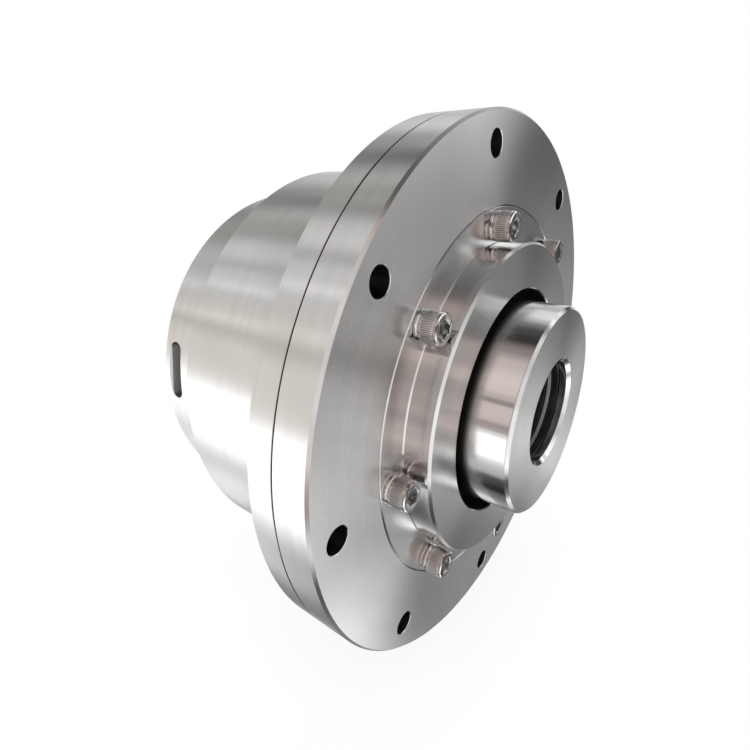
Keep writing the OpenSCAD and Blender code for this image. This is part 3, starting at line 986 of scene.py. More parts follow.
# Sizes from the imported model


class Planes:
    """Planes and radii of the seal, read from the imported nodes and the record, in millimetres."""

    def __init__(self, record: dict) -> None:
        """Reads the boxes of the nodes and the sizes of the mounts.

        Args:
            record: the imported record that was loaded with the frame.
        """
        housing, cover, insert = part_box("seal_housing"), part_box("cover_flange"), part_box("gland_insert")
        ring_box, sleeve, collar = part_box("rear_ring"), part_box("shaft_sleeve"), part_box("drive_collar")
        self.seam = cover[0].x / MM
        self.face = cover[1].x / MM
        self.flange_r = cover[1].z / MM
        self.boss = insert[1].x / MM
        self.insert_r = insert[1].z / MM
        self.barrel = housing[0].x / MM
        self.rear = ring_box[0].x / MM
        self.rear_spigot = ring_box[1].x / MM
        self.rear_r = ring_box[1].z / MM
        self.nose = sleeve[1].x / MM
        self.sleeve_rear = sleeve[0].x / MM
        self.nose_r = sleeve[1].z / MM
        self.collar_front = collar[1].x / MM
        self.chamber_r = 62.0
        self.boss_bore_r = 43.0
        mounts = {mount["name"]: mount["dims"] for mount in record["mounts"]}
        bolts = mounts["flange_bolts"]
        self.bolts = Row(bolts["pcd_mm"] / 2, bolts["count"], PATTERN_TURN)
        self.bolt_r = bolts["hole_r_mm"]
        self.barrel_r = mounts["barrel_pilot"]["r_mm"]
        self.bore_r = mounts["shaft_bore"]["r_mm"]


@dataclass
class Shop:
    """What every sub-assembly needs to build its pieces."""

    planes: Planes  # the seal's planes and radii
    pattern: Pattern  # the Geometry Nodes for repeats
    finish: Finishes  # the materials

    def settle(self, piece: Piece, body: Body, use: str, slot: str, *nodes: str) -> None:
        """Dresses a finished piece, lets it ride on its body and lets it stand for its nodes.

        Args:
            piece: the object at the origin.
            body: the body it moves with.
            use: the use of its only material.
            slot: the record's material slot, which is not used.
            nodes: the CAD nodes that it replaces.
        """
        piece.data.materials.clear()
        piece.data.materials.append(self.finish[use])
        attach(piece, body.value)
        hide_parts(*nodes)
        log.info("%s: %d faces on %s", piece.name, len(piece.data.polygons), body.value)


@dataclass
class Assembly:
    """Base of the sub-assemblies."""

    shop: Shop  # the planes, patterns and materials that they share

    def cut(self, blank: Piece, cutter: Piece, row: Row, use: str) -> None:
        """Cuts a row of copies of a cutter out of a blank that has the material of a use."""
        self.shop.pattern.round_cuts(blank, cutter, row, self.shop.finish[use])

    def copy(self, name: str, piece: Piece, row: Row, use: str) -> Piece:
        """Sets a row of copies of a piece that have the material of a use."""
        return self.shop.pattern.round_copies(name, piece, row, self.shop.finish[use])


# The stationary side


@dataclass
class Flange(Assembly):
    """Housing with its barrel, and the cover flange bolted to it."""

    edge: float = 0.8  # chamfer on the outer edges
    barrel_edge: float = 0.6  # chamfer on the barrel's rear edge
    seam_edge: float = 0.35  # chamfer on each side of the seams
    web: float = 6.0  # thickness of the web behind the mounting face
    spigot_r: float = 56.05  # bore that the insert's spigot enters
    pocket_r: float = 70.85  # counterbore that the insert's flange enters
    pocket: float = 8.0  # depth of that counterbore
    rear_bore_r: float = 64.05  # counterbore for the rear ring
    rear_bore: float = 5.0  # depth of it
    hole_flare: float = 0.25  # chamfer at the mouths of the mounting holes

    def housing(self) -> None:
        """Makes the barrel with the rear flange plate."""
        p = self.shop.planes
        outline = [
            (self.spigot_r, -self.web), (p.chamber_r, -self.web),
            (p.chamber_r, p.barrel + self.rear_bore), (self.rear_bore_r, p.barrel + self.rear_bore),
            (self.rear_bore_r, p.barrel),
            (p.barrel_r - self.barrel_edge, p.barrel), (p.barrel_r, p.barrel + self.barrel_edge),
            (p.barrel_r, 0.0), (p.flange_r - self.edge, 0.0), (p.flange_r, self.edge),
            (p.flange_r, p.seam - self.seam_edge), (p.flange_r - self.seam_edge, p.seam),
            (self.spigot_r, p.seam),
        ]
        piece = turned("housing_shell", outline)
        self._mounting_holes(piece, 0.0, p.seam, "housing")
        self.shop.settle(piece, Body.GLAND, "housing", "turned_steel", "seal_housing")

    def cover(self) -> None:
        """Makes the front plate with the pocket for the insert."""
        p = self.shop.planes
        outline = [
            (self.spigot_r, p.seam), (p.flange_r - self.seam_edge, p.seam),
            (p.flange_r, p.seam + self.seam_edge), (p.flange_r, p.face - self.edge),
            (p.flange_r - self.edge, p.face), (self.pocket_r + self.seam_edge, p.face),
            (self.pocket_r, p.face - self.seam_edge), (self.pocket_r, p.face - self.pocket),
            (self.spigot_r, p.face - self.pocket),
        ]
        piece = turned("cover_plate", outline)
        self._mounting_holes(piece, p.seam, p.face, "cover")
        self.shop.settle(piece, Body.GLAND, "cover", "faced_steel", "cover_flange")

    def _mounting_holes(self, piece: Piece, start: float, end: float, use: str) -> None:
        """Cuts the mounting holes through a plate between its two faces."""
        p = self.shop.planes
        self.cut(piece, drill("hole_cutter", p.bolt_r, start, end, self.hole_flare), p.bolts, use)


@dataclass
class Insert(Assembly):
    """Gland insert with its raised boss, and the throttle bush inside it."""

    boss_r: float = 59.0  # outer radius of the boss
    boss_edge: float = 0.8  # chamfer on the boss's edge
    foot: float = 0.35  # chamfer on the flush edge and at the boss's foot
    flange: float = 8.0  # thickness of the flush flange
    spigot_r: float = 56.0  # radius of the spigot behind it
    web: float = -6.0  # x of the step behind the spigot
    holder_r: float = 50.0  # radius of the seat holder
    holder_end: float = -25.0  # x of the holder's end
    seat_r: float = 41.25  # radius of the seat's pocket
    seat_x: float = -14.0  # x of the pocket's floor
    throat_r: float = 30.0  # bore behind the pocket
    throat: float = 6.0  # length of that bore
    quench_r: float = 36.0  # bore in front of it
    bush: float = 8.0  # length of the throttle bush
    bush_gap: float = 0.3  # play between the bush and the nose
    bush_play: float = 0.05  # play between the bush and the insert
    bush_edge: float = 0.6  # chamfer on the bush's front edge
    screw_hole_r: float = 3.3  # radius of the holes for the screws

    def body(self) -> None:
        """Makes the insert itself."""
        p = self.shop.planes
        foot, throat_end = self.foot, self.seat_x + self.throat
        outline = [
            (p.boss_bore_r, p.boss - foot), (p.boss_bore_r + foot, p.boss),
            (self.boss_r - self.boss_edge, p.boss), (self.boss_r, p.boss - self.boss_edge),
            (self.boss_r, p.face + foot), (self.boss_r + foot, p.face),
            (p.insert_r - foot, p.face), (p.insert_r, p.face - foot), (p.insert_r, p.face - self.flange),
            (self.spigot_r, p.face - self.flange), (self.spigot_r, self.web), (self.holder_r, self.web),
            (self.holder_r, self.holder_end), (self.seat_r, self.holder_end),
            (self.seat_r, self.seat_x), (self.throat_r, self.seat_x), (self.throat_r, throat_end),
            (self.quench_r, throat_end), (self.quench_r, p.seam), (p.boss_bore_r, p.seam),
        ]
        piece = turned("insert_body", outline)
        cutter = drill("screw_hole_cutter", self.screw_hole_r, p.face - self.flange, p.face)
        self.cut(piece, cutter, Row(SCREW_CIRCLE_R, p.bolts.count, PATTERN_TURN), "insert")
        self.shop.settle(piece, Body.GLAND, "insert", "insert_steel", "gland_insert")

    def throttle(self) -> None:
        """Makes the bush at the bottom of the gap round the nose."""
        p = self.shop.planes
        inner, outer, front = p.nose_r + self.bush_gap, p.boss_bore_r - self.bush_play, p.seam + self.bush
        outline = [
            (inner, p.seam), (outer, p.seam), (outer, front),
            (inner + self.bush_edge, front), (inner, front - self.bush_edge),
        ]
        self.shop.settle(turned("throttle_ring", outline), Body.GLAND, "bush", "bush_carbon", "throttle_bush")


@dataclass
class RearRing(Assembly):
    """Ring behind the barrel with its key windows and the screws that hold it."""

    inner_r: float = 62.0  # radius of the chamber in it
    lip_r: float = 50.0  # inner radius of the lip at its end
    lip: float = 4.0  # thickness of the lip
    spigot_r: float = 64.0  # radius of the spigot in the barrel
    edge: float = 1.6  # chamfer on the rear edge
    windows: int = 4  # number of windows
    window_turn: float = -7.2  # angle of the first window above +Y, in degrees
    window_l: float = 22.8  # length of a window round the ring
    window_w: float = 6.5  # width of a window along the axis
    window_in: float = 7.8  # distance of the windows from the rear end
    flare: float = 0.5  # chamfer round a window
    screw_circle_r: float = 67.25  # radius of the screws' circle
    screw_size: float = 5.0  # thread size of the screws
    shank: float = 6.0  # visible length of their shanks
    head_r: float = 4.47  # radius of their counterbores
    head_deep: float = 6.0  # depth of the counterbores

    def window_row(self) -> Row:
        """Gives the row of the windows, which the set screws inside share."""
        return Row(0.0, self.windows, self.window_turn, self.shop.planes.rear + self.window_in)

    def _screw_row(self, x: float) -> Row:
        """Gives the row of the screws, halfway between the windows."""
        return Row(self.screw_circle_r, self.windows, self.window_turn + 180.0 / self.windows, x)

    def ring(self) -> None:
        """Makes the ring."""
        p = self.shop.planes
        outline = [
            (self.inner_r, p.rear + self.lip), (self.lip_r, p.rear + self.lip), (self.lip_r, p.rear),
            (p.rear_r - self.edge, p.rear), (p.rear_r, p.rear + self.edge), (p.rear_r, p.barrel),
            (self.spigot_r, p.barrel), (self.spigot_r, p.rear_spigot), (self.inner_r, p.rear_spigot),
        ]
        piece = turned("rear_ring_body", outline)
        self.cut(piece, self._window(), self.window_row(), "rear")
        bore = drill("counterbore_cutter", self.head_r, p.rear, p.rear + self.head_deep - DRILL_OVER)
        self.cut(piece, bore, self._screw_row(0.0), "rear")
        self.shop.settle(piece, Body.GLAND, "rear", "ring_steel", "rear_ring")

    def _window(self) -> Piece:
        """Makes the cutter of a window, a slot with round ends and a flare at its outer mouth.

        Returns:
            The cutter, upright on +Y.
        """
        half, end, rear_r = self.window_l / 2, self.window_w / 2, self.shop.planes.rear_r
        over, under = 3.0, 2.0
        levels = [
            (self.inner_r - under, 0.0), (rear_r - 2.0 * self.flare, 0.0),
            (rear_r, self.flare), (rear_r + over, self.flare + over / 2),
        ]
        rings = [
            [Vector((x, height, z)) * MM for x, z in slot_points(half + wider, end + wider)]
            for height, wider in levels
        ]
        return loft("window_cutter", rings)

    def screws(self, screw: Callable[[str, float, float], Piece]) -> None:
        """Sets the long screws in their counterbores.

        Args:
            screw: maker of a cap screw from a name, a thread size and a length.
        """
        piece = screw("ring_screw", self.screw_size, self.shank)
        piece.data.transform(Matrix.Rotation(math.pi, 4, "Z"))
        row = self._screw_row(self.shop.planes.rear + self.head_deep)
        made = self.copy("ring_screw_row", piece, row, "plain_screw")
        self.shop.settle(made, Body.GLAND, "plain_screw", "screw_steel", "rear_ring_screws")


# Fasteners


@dataclass
class Fasteners(Assembly):
    """Cap screws with knurled heads, the split washers under them and the collar's set screws."""

    size: float = 6.0  # thread size of the front screws
    shank: float = 4.0  # length of their shanks below the washers
    ridges: int = 48  # ridges of the knurl round a head
    knurl: float = KNURL_DEPTH  # depth of the knurl
    washer: float = 1.6  # thickness of the washers
    washer_edge: float = 0.45  # softening of a washer's edges
    washer_gap: float = 16.0  # angle of its split, in degrees
    washer_turn: float = 70.0  # where the split is, in degrees
    lean: float = 0.35  # slant of the split, in radians over the thickness
    set_size: float = 8.0  # thread size of the set screws
    set_inner: float = 19.32  # radius of their inner ends, on the shaft
    set_flat: float = 2.0  # half the width of their sockets across the flats
    set_socket: float = 4.0  # depth of those sockets

    def _front_row(self, x: float) -> Row:
        """Gives the row of the front screws at a place along the axis."""
        return Row(SCREW_CIRCLE_R, self.shop.planes.bolts.count, PATTERN_TURN, x)

    def _knurled(self, radius: float, angle: float) -> float:
        """Form of a ring with ridges as high as the knurl is deep."""
        return radius - self.knurl * (0.5 - 0.5 * math.cos(self.ridges * angle))

    def cap_screw(self, name: str, size: float, shank: float) -> Piece:
        """Makes a socket-head cap screw along X, its head above x = 0.

        Args:
            name: the object's name.
            size: thread size.
            shank: visible length of the shank below the head.

        Returns:
            The closed mesh object.
        """
        head, flat, tall = size * 5.0 / 6.0, size * 5.0 / 12.0, size
        edge, foot, core, tip = size * 0.1, size * 0.05, 0.4, 0.05
        knurl_from, knurl_to = size * 0.19, size * 0.76
        mouth_r, mouth = flat / math.cos(math.radians(30)) + size * 0.05, tall - size * 0.03
        floor, cone, end = tall - size * 0.5, tall - size * 0.58, tall - size * 0.6
        outline = [
            (core, -shank), (size / 2, -shank), (size / 2, 0.0),
            (head - foot, 0.0), (head, foot),
            (head, size * 0.17), (head, knurl_from, self._knurled),
            (head, knurl_to, self._knurled), (head, size * 0.78),
            (head, tall - edge), (head - edge * 0.35, tall - edge * 0.3),
            (head - edge, tall), (mouth_r, tall),
            (flat, mouth, hexagon), (flat, floor, hexagon),
            (flat * 0.55, cone), (tip, end),
        ]
        return loft(name, [ring(self.ridges * 4, *stop) for stop in outline])

    def screws(self) -> None:
        """Sets the front screws on their circle."""
        piece = self.cap_screw("gland_screw", self.size, self.washer + self.shank)
        row = self._front_row(self.shop.planes.face + self.washer)
        made = self.copy("gland_screw_row", piece, row, "screw")
        self.shop.settle(made, Body.GLAND, "screw", "screw_steel", "gland_screws")

    def washers(self) -> None:
        """Sets a split washer under each front screw."""
        inner, outer, gap = self.size / 2 + 0.05, self.size * 0.825, math.radians(self.washer_gap)
        soft, thick, steps = self.washer_edge, self.washer, 60
        section = [
            (inner, soft), (inner + soft, 0.0), (outer - soft, 0.0), (outer, soft),
            (outer, thick - soft), (outer - soft, thick), (inner + soft, thick), (inner, thick - soft),
        ]
        rings = []
        for k in range(steps + 1):
            points = []
            for radius, x in section:
                angle = gap / 2 + self.lean * (x / thick - 0.5) + (TURN - gap) * k / steps
                points.append(Vector((x, radius * math.cos(angle), radius * math.sin(angle))) * MM)
            rings.append(points)
        piece = loft("lock_washer", rings)
        piece.data.transform(Matrix.Rotation(math.radians(self.washer_turn), 4, "X"))
        made = self.copy("lock_washer_row", piece, self._front_row(self.shop.planes.face), "washer")
        self.shop.settle(made, Body.GLAND, "washer", "spring_steel", "lock_washers")

    def set_screws(self, row: Row, outer: float) -> None:
        """Sets the grub screws in the drive collar.

        Args:
            row: where they are.
            outer: radius of their outer ends.
        """
        half, inner, flat, floor = self.set_size / 2, self.set_inner, self.set_flat, outer - self.set_socket
        point, edge, tip, mouth, cone, steps = 1.44, 0.72, 0.1, 0.2, 0.6, 72
        outline = [
            (tip, inner), (half - point, inner), (half, inner + point),
            (half, outer - edge), (half - edge, outer),
            (flat * 1.3, outer), (flat, outer - mouth, hexagon), (flat, floor, hexagon),
            (tip, floor - cone),
        ]
        piece = loft("set_screw", [upright(ring(steps, *stop)) for stop in outline])
        made = self.copy("set_screw_row", piece, row, "plain_screw")
        self.shop.settle(made, Body.ROTOR, "plain_screw", "screw_steel", "set_screws")


# The rotor


@dataclass
class Sleeve(Assembly):
    """Sleeve with its nose, and the two O-rings in its bore."""

    tube_r: float = 26.0  # outer radius of the tube
    tube_edge: float = 1.0  # chamfer on the tube's rear edge
    nose_edge: float = 1.0  # chamfer on the nose's outer edge
    nose_ease: float = 0.35  # length of the slight taper before it
    ease_angle: float = 15.0  # slope of that taper, in degrees
    mouth: float = 1.3  # chamfer at the bore's mouth
    land: float = 2.4  # land behind that chamfer
    between: float = 1.1  # land between the grooves
    cord: float = 3.5  # cord of the O-rings
    groove: float = 3.64  # width of a groove
    groove_deep: float = 2.975  # depth of a groove
    shoulder: float = 11.0  # x of the nose's rear shoulder

    def _grooves(self) -> tuple[float, float]:
        """Places of the two grooves along X."""
        first = self.shop.planes.nose - self.mouth - self.land - self.groove / 2
        return first, first - self.groove - self.between

    def body(self) -> None:
        """Makes the sleeve."""
        p = self.shop.planes
        half, deep, chamfer = self.groove / 2, p.bore_r + self.groove_deep, p.nose - self.nose_edge
        ease_in = self.nose_ease * math.tan(math.radians(self.ease_angle))
        outline = [
            (p.bore_r, p.sleeve_rear), (self.tube_r - self.tube_edge, p.sleeve_rear),
            (self.tube_r, p.sleeve_rear + self.tube_edge), (self.tube_r, self.shoulder),
            (p.nose_r, self.shoulder), (p.nose_r, chamfer - self.nose_ease),
            (p.nose_r - ease_in, chamfer), (p.nose_r - ease_in - self.nose_edge, p.nose),
            (p.bore_r + self.mouth, p.nose), (p.bore_r, p.nose - self.mouth),
        ]
        for x in self._grooves():
            outline += [(p.bore_r, x + half), (deep, x + half), (deep, x - half), (p.bore_r, x - half)]
        piece = turned("sleeve_body", outline)
        self.shop.settle(piece, Body.ROTOR, "sleeve", "polished_steel", "shaft_sleeve")

    def o_rings(self) -> None:
        """Makes the O-rings, flattened where the groove and the shaft press them."""
        flat, cord_r, steps = self.groove_deep / 2, self.cord / 2, 20
        middle = self.shop.planes.bore_r + flat
        pieces = []
        for index, x in enumerate(self._grooves()):
            outline = []
            for k in range(steps):
                angle = TURN * k / steps
                across = max(-flat, min(flat, cord_r * math.cos(angle)))
                outline.append((middle + across, x + cord_r * math.sin(angle)))
            pieces.append(turned(f"bore_o_ring_{index}", outline))
        pair = join("bore_o_ring_pair", pieces)
        self.shop.settle(pair, Body.ROTOR, "bore_rubber", "bore_rubber", "bore_o_rings")


@dataclass
class DriveCollar(Assembly):
    """Collar on the sleeve with the skirt round the sliding ring."""

    bed_r: float = 26.05  # bore on the sleeve
    rear_r: float = 40.0  # radius where the set screws are
    skirt_r: float = 44.0  # outer radius of the skirt
    skirt_in_r: float = 41.0  # inner radius of the skirt
    block: float = -56.0  # x of the block's front face
    block_rear: float = -68.0  # x of the step behind the block
    edge: float = 1.0  # chamfer on its edges
    set_hole_r: float = 4.05  # radius of the holes for the set screws
    sunk: float = 2.0  # how far the set screws are below the collar's surface

    def body(self, row: Row, fasteners: Fasteners) -> None:
        """Makes the collar and its set screws.

        Args:
            row: where the set screws are, under the rear ring's windows.
            fasteners: maker of the set screws.
        """
        p, edge, over, steps = self.shop.planes, self.edge, 2.0, 64
        outline = [
            (self.bed_r, p.sleeve_rear), (self.rear_r - edge, p.sleeve_rear),
            (self.rear_r, p.sleeve_rear + edge), (self.rear_r, self.block_rear),
            (self.skirt_r, self.block_rear), (self.skirt_r, p.collar_front - edge),
            (self.skirt_r - edge, p.collar_front), (self.skirt_in_r, p.collar_front),
            (self.skirt_in_r, self.block), (self.bed_r, self.block),
        ]
        piece = turned("collar_body", outline)
        ends = (self.bed_r - over, self.rear_r + over)
        cutter = loft("set_screw_cutter", [upright(ring(steps, self.set_hole_r, y)) for y in ends])
        self.cut(piece, cutter, row, "collar")
        self.shop.settle(piece, Body.ROTOR, "collar", "collar_steel", "drive_collar")
        fasteners.set_screws(row, self.rear_r - self.sunk)


# CAD nodes that keep their own mesh


INNER_NODES = {
    "housing_o_ring": "rubber",
    "gland_o_ring": "rubber",
    "seat_ring": "ceramic",
    "seat_o_ring": "rubber",
    "seat_pins": "pin",
    "bush_snap_ring": "snap_ring",
    "springs": "spring",
    "drive_pins": "pin",
    "collar_snap_ring": "snap_ring",
    "seal_ring": "carbon",
    "ring_o_ring": "rubber",
    "thrust_ring": "collar",
}


def dress_inner_nodes(frame: dict, finish: Finishes) -> None:
    """Gives the inner CAD nodes their materials.

    Args:
        finish: the materials.
    """
    for name, use in INNER_NODES.items():
        node = frame["nodes"][name]
        if not node.material_slots:
            node.data.materials.append(finish[use])
        for place in node.material_slots:
            place.material = finish[use]
        log.info("%s: dressed", name)


# Studio


class Tint(Enum):
    """Colour casts of the workshop round the seal, as factors on a grey."""

    PLAIN = (1.0, 1.0, 1.0)
    WARM = (1.15, 1.0, 0.96)
    UMBER = (1.3, 1.0, 0.9)
    CREAM = (1.05, 1.0, 0.94)
    GREEN = (0.95, 1.0, 0.7)


@dataclass(frozen=True)
class Wall:
    """One stop of the light and shade that lies round an axis."""

    angle: float  # bearing, 0 on +Y and 90 straight up, in degrees
    level: float  # brightness, where 1 is white
    tint: Tint  # its colour cast

    def colour(self) -> tuple[float, ...]:
        """Gives the stop's colour."""
        return (*(self.level * part for part in self.tint.value), 1.0)


def walls(tint: Tint, *stops: Point) -> tuple[Wall, ...]:
    """Gives stops of one tint from their (bearing, level) pairs."""
    return tuple(Wall(angle, level, tint) for angle, level in stops)


# Light and shade in the room, in rings from behind the seal to ahead of it, as its steel mirrors
# them towards the photograph's camera. This is the upper part of both rings behind.
UPPER_BACK = (
    *walls(
        Tint.PLAIN,
        (0, 0.4), (14, 0.8), (22, 0.52), (36, 0.64), (43, 0.6), (46, 0.24), (51, 0.26), (53, 0.44),
    ),
    *walls(Tint.CREAM, (57, 0.32)),
    *walls(Tint.PLAIN, (60, 0.1), (64, 0.12), (70, 0.42), (79, 0.56)),
    *walls(Tint.GREEN, (81, 0.25), (84, 0.25)),
    *walls(
        Tint.PLAIN,
        (86, 0.54), (91, 0.2), (94, 0.28), (99, 0.64), (111, 0.68), (113, 0.36), (117, 0.36),
        (119, 0.63), (127, 0.6), (129, 0.86), (131, 0.86), (133, 0.56),
    ),
    *walls(Tint.CREAM, (144, 0.6), (150, 0.74), (158, 0.54), (168, 0.7), (180, 0.7), (188, 0.74)),
)
# Farthest behind, which the barrel and the rear ring mirror.
BEHIND = UPPER_BACK + walls(
    Tint.PLAIN,
    (198, 1.35), (234, 1.35), (241, 0.8), (246, 0.56), (252, 0.85), (260, 1.2), (268, 1.1), (276, 1),
    (285, 0.95), (292, 0.45), (295, 0.8), (304, 0.85), (330, 0.6), (360, 0.4),
)
# Behind and outward, which the flange's rim mirrors.
RIMWARD = UPPER_BACK + walls(
    Tint.PLAIN,
    (196, 1.35), (234, 1.35), (240, 0.8), (247, 0.5), (253, 0.56), (261, 0.7), (267, 0.58),
    (274, 0.34), (284, 0.26), (291, 0.3), (294, 0.72), (304, 0.85), (330, 0.6), (360, 0.4),
)
# Outward and a little behind, which the sides of the boss and the nose mirror.
BESIDE = (
    *walls(
        Tint.PLAIN,
        (0, 0.8), (14, 0.6), (30, 0.5), (36, 0.78), (50, 0.84), (58, 0.5), (64, 0.22), (73, 0.07),
    ),
    *walls(
        Tint.WARM,
        (88, 0.03), (102, 0.24), (118, 0.52), (136, 0.66), (146, 0.62), (155, 0.46), (157, 0.28),
        (160, 0.28), (162, 0.56), (170, 0.58), (178, 0.54), (180, 0.4), (182, 0.32), (187, 0.38),
    ),
    *walls(
        Tint.PLAIN,
        (191, 0.8), (196, 1.4), (217, 1.4), (222, 0.9), (228, 0.62), (236, 0.5), (244, 0.08), (260, 0.02),
        (274, 0.17), (290, 0.34), (304, 0.2), (318, 0.3), (332, 1.2), (346, 1.2), (360, 0.8),
    ),
)
# Outward and a little ahead, which the nose's face and the far part of the flange's face mirror.
ABREAST = (
    *walls(Tint.PLAIN, (0, 0.05), (10, 0.1), (20, 0.4), (45, 0.3), (75, 0.12), (90, 0.1)),
    *walls(Tint.WARM, (115, 0.28), (150, 0.3), (180, 0.3)),
    *walls(
        Tint.PLAIN,
        (196, 0.5), (210, 0.4), (228, 0.5), (250, 0.1), (275, 0.25), (292, 0.5), (306, 0.22),
        (320, 0.03), (330, 0.68), (340, 0.16), (360, 0.05),
    ),
)
# Farther ahead, which the near part of the faces mirrors.
AHEAD = (
    *walls(
        Tint.PLAIN,
        (0, 0.15), (8, 0.5), (16, 1.2), (38, 1.2), (42, 0.4), (45, 0.13), (49, 0.14), (55, 0.2),
        (62, 0.17), (71, 0.09),
    ),
    *walls(
        Tint.UMBER,
        (85, 0.04), (92, 0.08), (97, 0.34), (104, 0.36), (114, 0.3), (124, 0.3), (136, 0.55),
        (142, 0.55), (148, 0.32), (158, 0.26), (165, 0.32), (173, 0.28), (178, 0.36), (180, 0.34),
        (184, 0.22), (189, 0.24), (192, 0.44), (197, 0.3), (201, 0.55), (205, 0.4), (211, 0.22),
        (224, 0.2),
    ),
    *walls(
        Tint.PLAIN,
        (234, 0.75), (239, 0.95), (245, 0.45), (250, 0.1), (268, 0.05), (273, 0.14), (279, 0.2),
        (284, 0.9), (288, 1.3), (296, 1.3), (302, 0.8), (310, 0.2), (318, 0.35), (328, 0.7),
        (340, 0.55), (350, 0.25), (360, 0.15),
    ),
)
# Straight ahead, which the faces mirror in a view from the front.
BEFORE = walls(
    Tint.PLAIN,
    (0, 0.25), (30, 0.9), (84, 0.6), (110, 0.8), (160, 0.8), (180, 1), (200, 1), (242, 1),
    (262, 1.15), (298, 1.2), (310, 0.1), (345, 0.05), (360, 0.25),
)
# Wedges of light ahead of the faces, as factors on the walls there.
FAN = walls(
    Tint.PLAIN,
    (0, 1.4), (22, 1.4), (38, 0.9), (50, 0.8), (60, 1), (71, 0.4), (80, 1.5), (90, 0.6), (100, 1.2),
    (110, 1.6), (122, 1.5), (136, 0.5), (150, 0.35), (170, 0.4), (180, 1), (192, 1.6), (204, 1.5),
    (214, 0.9), (222, 1.2), (231, 1.5), (236, 1.4), (241, 0.7), (250, 0.75), (262, 0.9), (274, 1),
    (281, 0.5), (292, 1.2), (320, 1.3), (360, 1.4),
)


@dataclass(frozen=True)
class Station:
    """Where along the axis one ring of walls takes over from the one behind it."""

    start: float  # part of a unit direction along X where it begins
    full: float  # where it is all that shows
    walls: tuple[Wall, ...]  # its stops round the axis


STATIONS = (
    Station(-0.68, -0.6, RIMWARD),
    Station(-0.5, -0.42, BESIDE),
    Station(-0.05, 0.12, ABREAST),
    Station(0.28, 0.42, AHEAD),
    Station(0.62, 0.76, BEFORE),
)


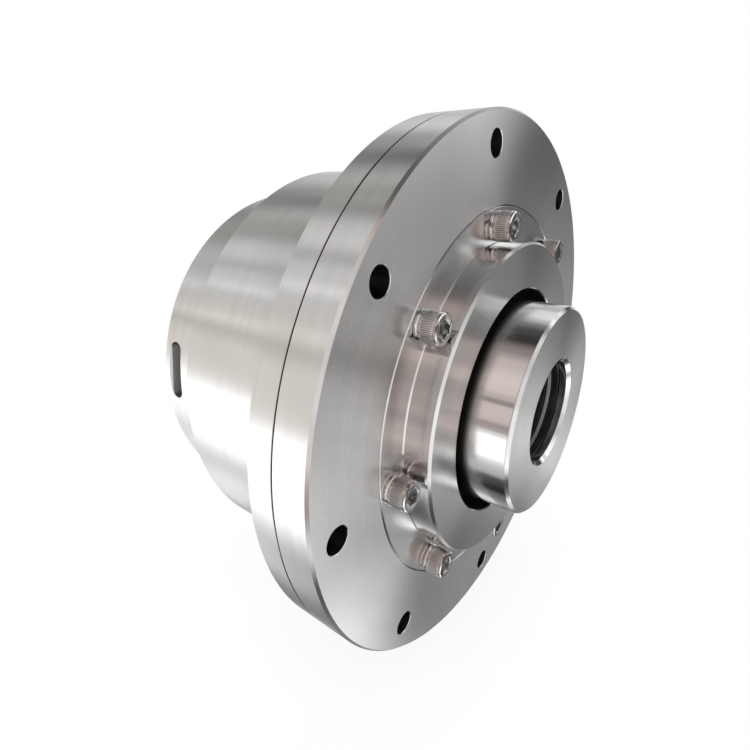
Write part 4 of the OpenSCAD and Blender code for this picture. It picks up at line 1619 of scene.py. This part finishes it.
@dataclass
class Studio:
    """Floor, surroundings and camera."""

    floor_z: float = -100.0  # height of the floor
    floor_half: float = 4000.0  # half of the floor's width
    sensor: float = 36.0  # width of the camera's picture
    lens: float = 23.54  # focal length for that width
    azimuth: float = 37.425  # direction of the camera round Z, in degrees
    elevation: float = 21.734  # its height above the horizon, in degrees
    distance: float = 192.953  # distance from the aim
    aim_x: float = 22.5  # x of the aim on the axis
    slide: float = -44.329  # shift of the camera to its right
    lift: float = 7.974  # shift of the camera upwards
    fan_y: float = 0.78  # Y of the unit direction that the wedges spread from
    fan_z: float = -0.37  # Z of that direction
    fan_reach: Point = (0.7, 1.2)  # distances from it where the wedges begin to fade and have gone
    fan_ahead: Point = (0.05, 0.25)  # parts along X where the wedges begin and are full
    room: float = 0.75  # grey that diffuse surfaces see
    shadow_reach: float = 50.0  # how far the seal's shadow on the floor spreads
    shadow_span: Point = (0.2, 0.98)  # shares of open sky where the shadow is full and where it ends
    shadow_grey: float = 0.93  # level of the floor where the shadow is full

    def camera(self) -> None:
        """Sets the camera where the photograph was taken from."""
        turn, rise = math.radians(self.azimuth), math.radians(self.elevation)
        back = Vector((math.sin(turn) * math.cos(rise), -math.cos(turn) * math.cos(rise), math.sin(rise)))
        right = (-back).cross(Vector((0, 0, 1))).normalized()
        up = right.cross(-back)
        data = bpy.data.cameras.new("camera")
        data.sensor_width = self.sensor
        data.lens = self.lens
        data.clip_start = 0.005
        data.clip_end = 50.0
        made = bpy.data.objects.new("camera", data)
        bpy.context.scene.collection.objects.link(made)
        aim = Vector((self.aim_x, 0, 0))
        made.location = (back * self.distance + right * self.slide + up * self.lift + aim) * MM
        made.rotation_mode = "QUATERNION"
        made.rotation_quaternion = (-back).to_track_quat("-Z", "Y")
        bpy.context.scene.camera = made

    @staticmethod
    def _ramp(tree: Tree, share: Socket, stops: Sequence[Wall], first: float) -> Socket:
        """Adds a colour ramp over one half turn.

        Args:
            tree: the world's tree.
            share: the bearing as a share of a turn.
            stops: the stops of that half, in order.
            first: bearing where the half begins, in degrees.

        Returns:
            The colour socket.
        """
        half = 180.0
        along = tree.math("SUBTRACT", tree.math("MULTIPLY", share, 360.0 / half), first / half)
        node = tree.add("ShaderNodeValToRGB", in_0=along)
        ramp = node.color_ramp
        ramp.interpolation = "EASE"
        ramp.elements[0].color = stops[0].colour()
        ramp.elements[-1].color = stops[-1].colour()
        for stop in stops[1:-1]:
            ramp.elements.new((stop.angle - first) / half).color = stop.colour()
        return node.outputs["Color"]

    def _round(self, tree: Tree, share: Socket, stops: Sequence[Wall]) -> Socket:
        """Adds walls round an axis, as two ramps because a ramp holds few stops.

        Args:
            tree: the world's tree.
            share: the bearing as a share of a turn.
            stops: the stops in order, with one at 0, 180 and 360 degrees.

        Returns:
            The colour socket.
        """
        upper = self._ramp(tree, share, [stop for stop in stops if stop.angle <= 180.0], 0.0)
        lower = self._ramp(tree, share, [stop for stop in stops if stop.angle >= 180.0], 180.0)
        return tree.mix_colour(tree.math("GREATER_THAN", share, 0.5), upper, lower)

    def _fan(self, tree: Tree, x: Socket, y: Socket, z: Socket, bands: Socket) -> Socket:
        """Breaks the walls ahead of the faces into wedges, which the tool marks draw out into rays.

        Args:
            tree: the world's tree.
            x: part of the direction along X.
            y: part along Y.
            z: part along Z.
            bands: the colour of the walls.

        Returns:
            The colour socket.
        """
        side = tree.math("SUBTRACT", y, self.fan_y)
        rise = tree.math("SUBTRACT", z, self.fan_z)
        wedges = self._round(tree, tree.turn_share(rise, side), FAN)
        near = tree.remap(tree.length(side, rise), self.fan_reach, DOWN)
        reach = tree.math("MULTIPLY", near, tree.remap(x, self.fan_ahead, UP))
        return tree.mix_colour(reach, bands, tree.vector("MULTIPLY", in_0=bands, in_1=wedges))

    def world(self) -> None:
        """Makes the surroundings: white to the camera, and bands of light and shade to the metal."""
        made = bpy.data.worlds.new("studio")
        bpy.context.scene.world = made
        made.use_nodes = True
        made.node_tree.nodes.clear()
        tree = Tree(made.node_tree)
        direction = tree.add("ShaderNodeTexCoord").outputs["Generated"]
        x, y, z = tree.add("ShaderNodeSeparateXYZ", in_0=direction).outputs
        share = tree.turn_share(z, y)
        bands = self._round(tree, share, BEHIND)
        for station in STATIONS:
            reached = tree.remap(x, (station.start, station.full), UP)
            bands = tree.mix_colour(reached, bands, self._round(tree, share, station.walls))
        bands = self._fan(tree, x, y, z, bands)
        path = tree.add("ShaderNodeLightPath").outputs
        soft = tree.mix_colour(path["Is Diffuse Ray"], bands, (self.room,) * 3)
        seen = tree.mix_colour(path["Is Camera Ray"], soft, WHITE)
        light = tree.add("ShaderNodeBackground", Color=seen, Strength=1.0)
        tree.add("ShaderNodeOutputWorld", Surface=light.outputs[0])

    def floor(self) -> None:
        """Makes the pale floor, which is white to the camera apart from the seal's soft shadow."""
        half, z = self.floor_half * MM, self.floor_z * MM
        mesh = bpy.data.meshes.new("floor")
        corners = [(-half, -half, z), (half, -half, z), (half, half, z), (-half, half, z)]
        mesh.from_pydata(corners, [], [(0, 1, 2, 3)])
        made = mesh_object("floor", mesh)
        made.visible_glossy = False
        material, tree = blank_material("floor_white")
        shade = tree.add("ShaderNodeAmbientOcclusion", {"samples": 8}, Distance=self.shadow_reach * MM)
        grey = tree.remap(shade.outputs["AO"], self.shadow_span, (self.shadow_grey, 1.0))
        glow = tree.add("ShaderNodeEmission", Color=tree.mix_colour(grey, BLACK, WHITE))
        matt = tree.add("ShaderNodeBsdfDiffuse", Color=(0.8, 0.8, 0.8, 1.0))
        seen = tree.add("ShaderNodeLightPath").outputs["Is Camera Ray"]
        both = tree.add("ShaderNodeMixShader", in_0=seen, in_1=matt.outputs[0], in_2=glow.outputs[0])
        tree.add("ShaderNodeOutputMaterial", Surface=both.outputs[0])
        mesh.materials.append(material)

    def build(self) -> None:
        """Makes the whole studio."""
        self.camera()
        self.world()
        self.floor()
        view = bpy.context.scene.view_settings
        view.view_transform = "Standard"


def main() -> None:
    """Builds the seal's looks and its studio in order."""
    logging.basicConfig(level=logging.INFO, format="%(name)s: %(message)s")
    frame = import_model()
    Studio().build()
    planes = Planes(frame["record"])
    shop = Shop(planes, Pattern(), Finishes(planes))
    flange = Flange(shop)
    flange.housing()
    flange.cover()
    insert = Insert(shop)
    insert.body()
    insert.throttle()
    fasteners = Fasteners(shop)
    fasteners.screws()
    fasteners.washers()
    rear = RearRing(shop)
    rear.ring()
    rear.screws(fasteners.cap_screw)
    sleeve = Sleeve(shop)
    sleeve.body()
    sleeve.o_rings()
    DriveCollar(shop).body(rear.window_row(), fasteners)
    dress_inner_nodes(frame, shop.finish)


if __name__ == "__main__":
    main()
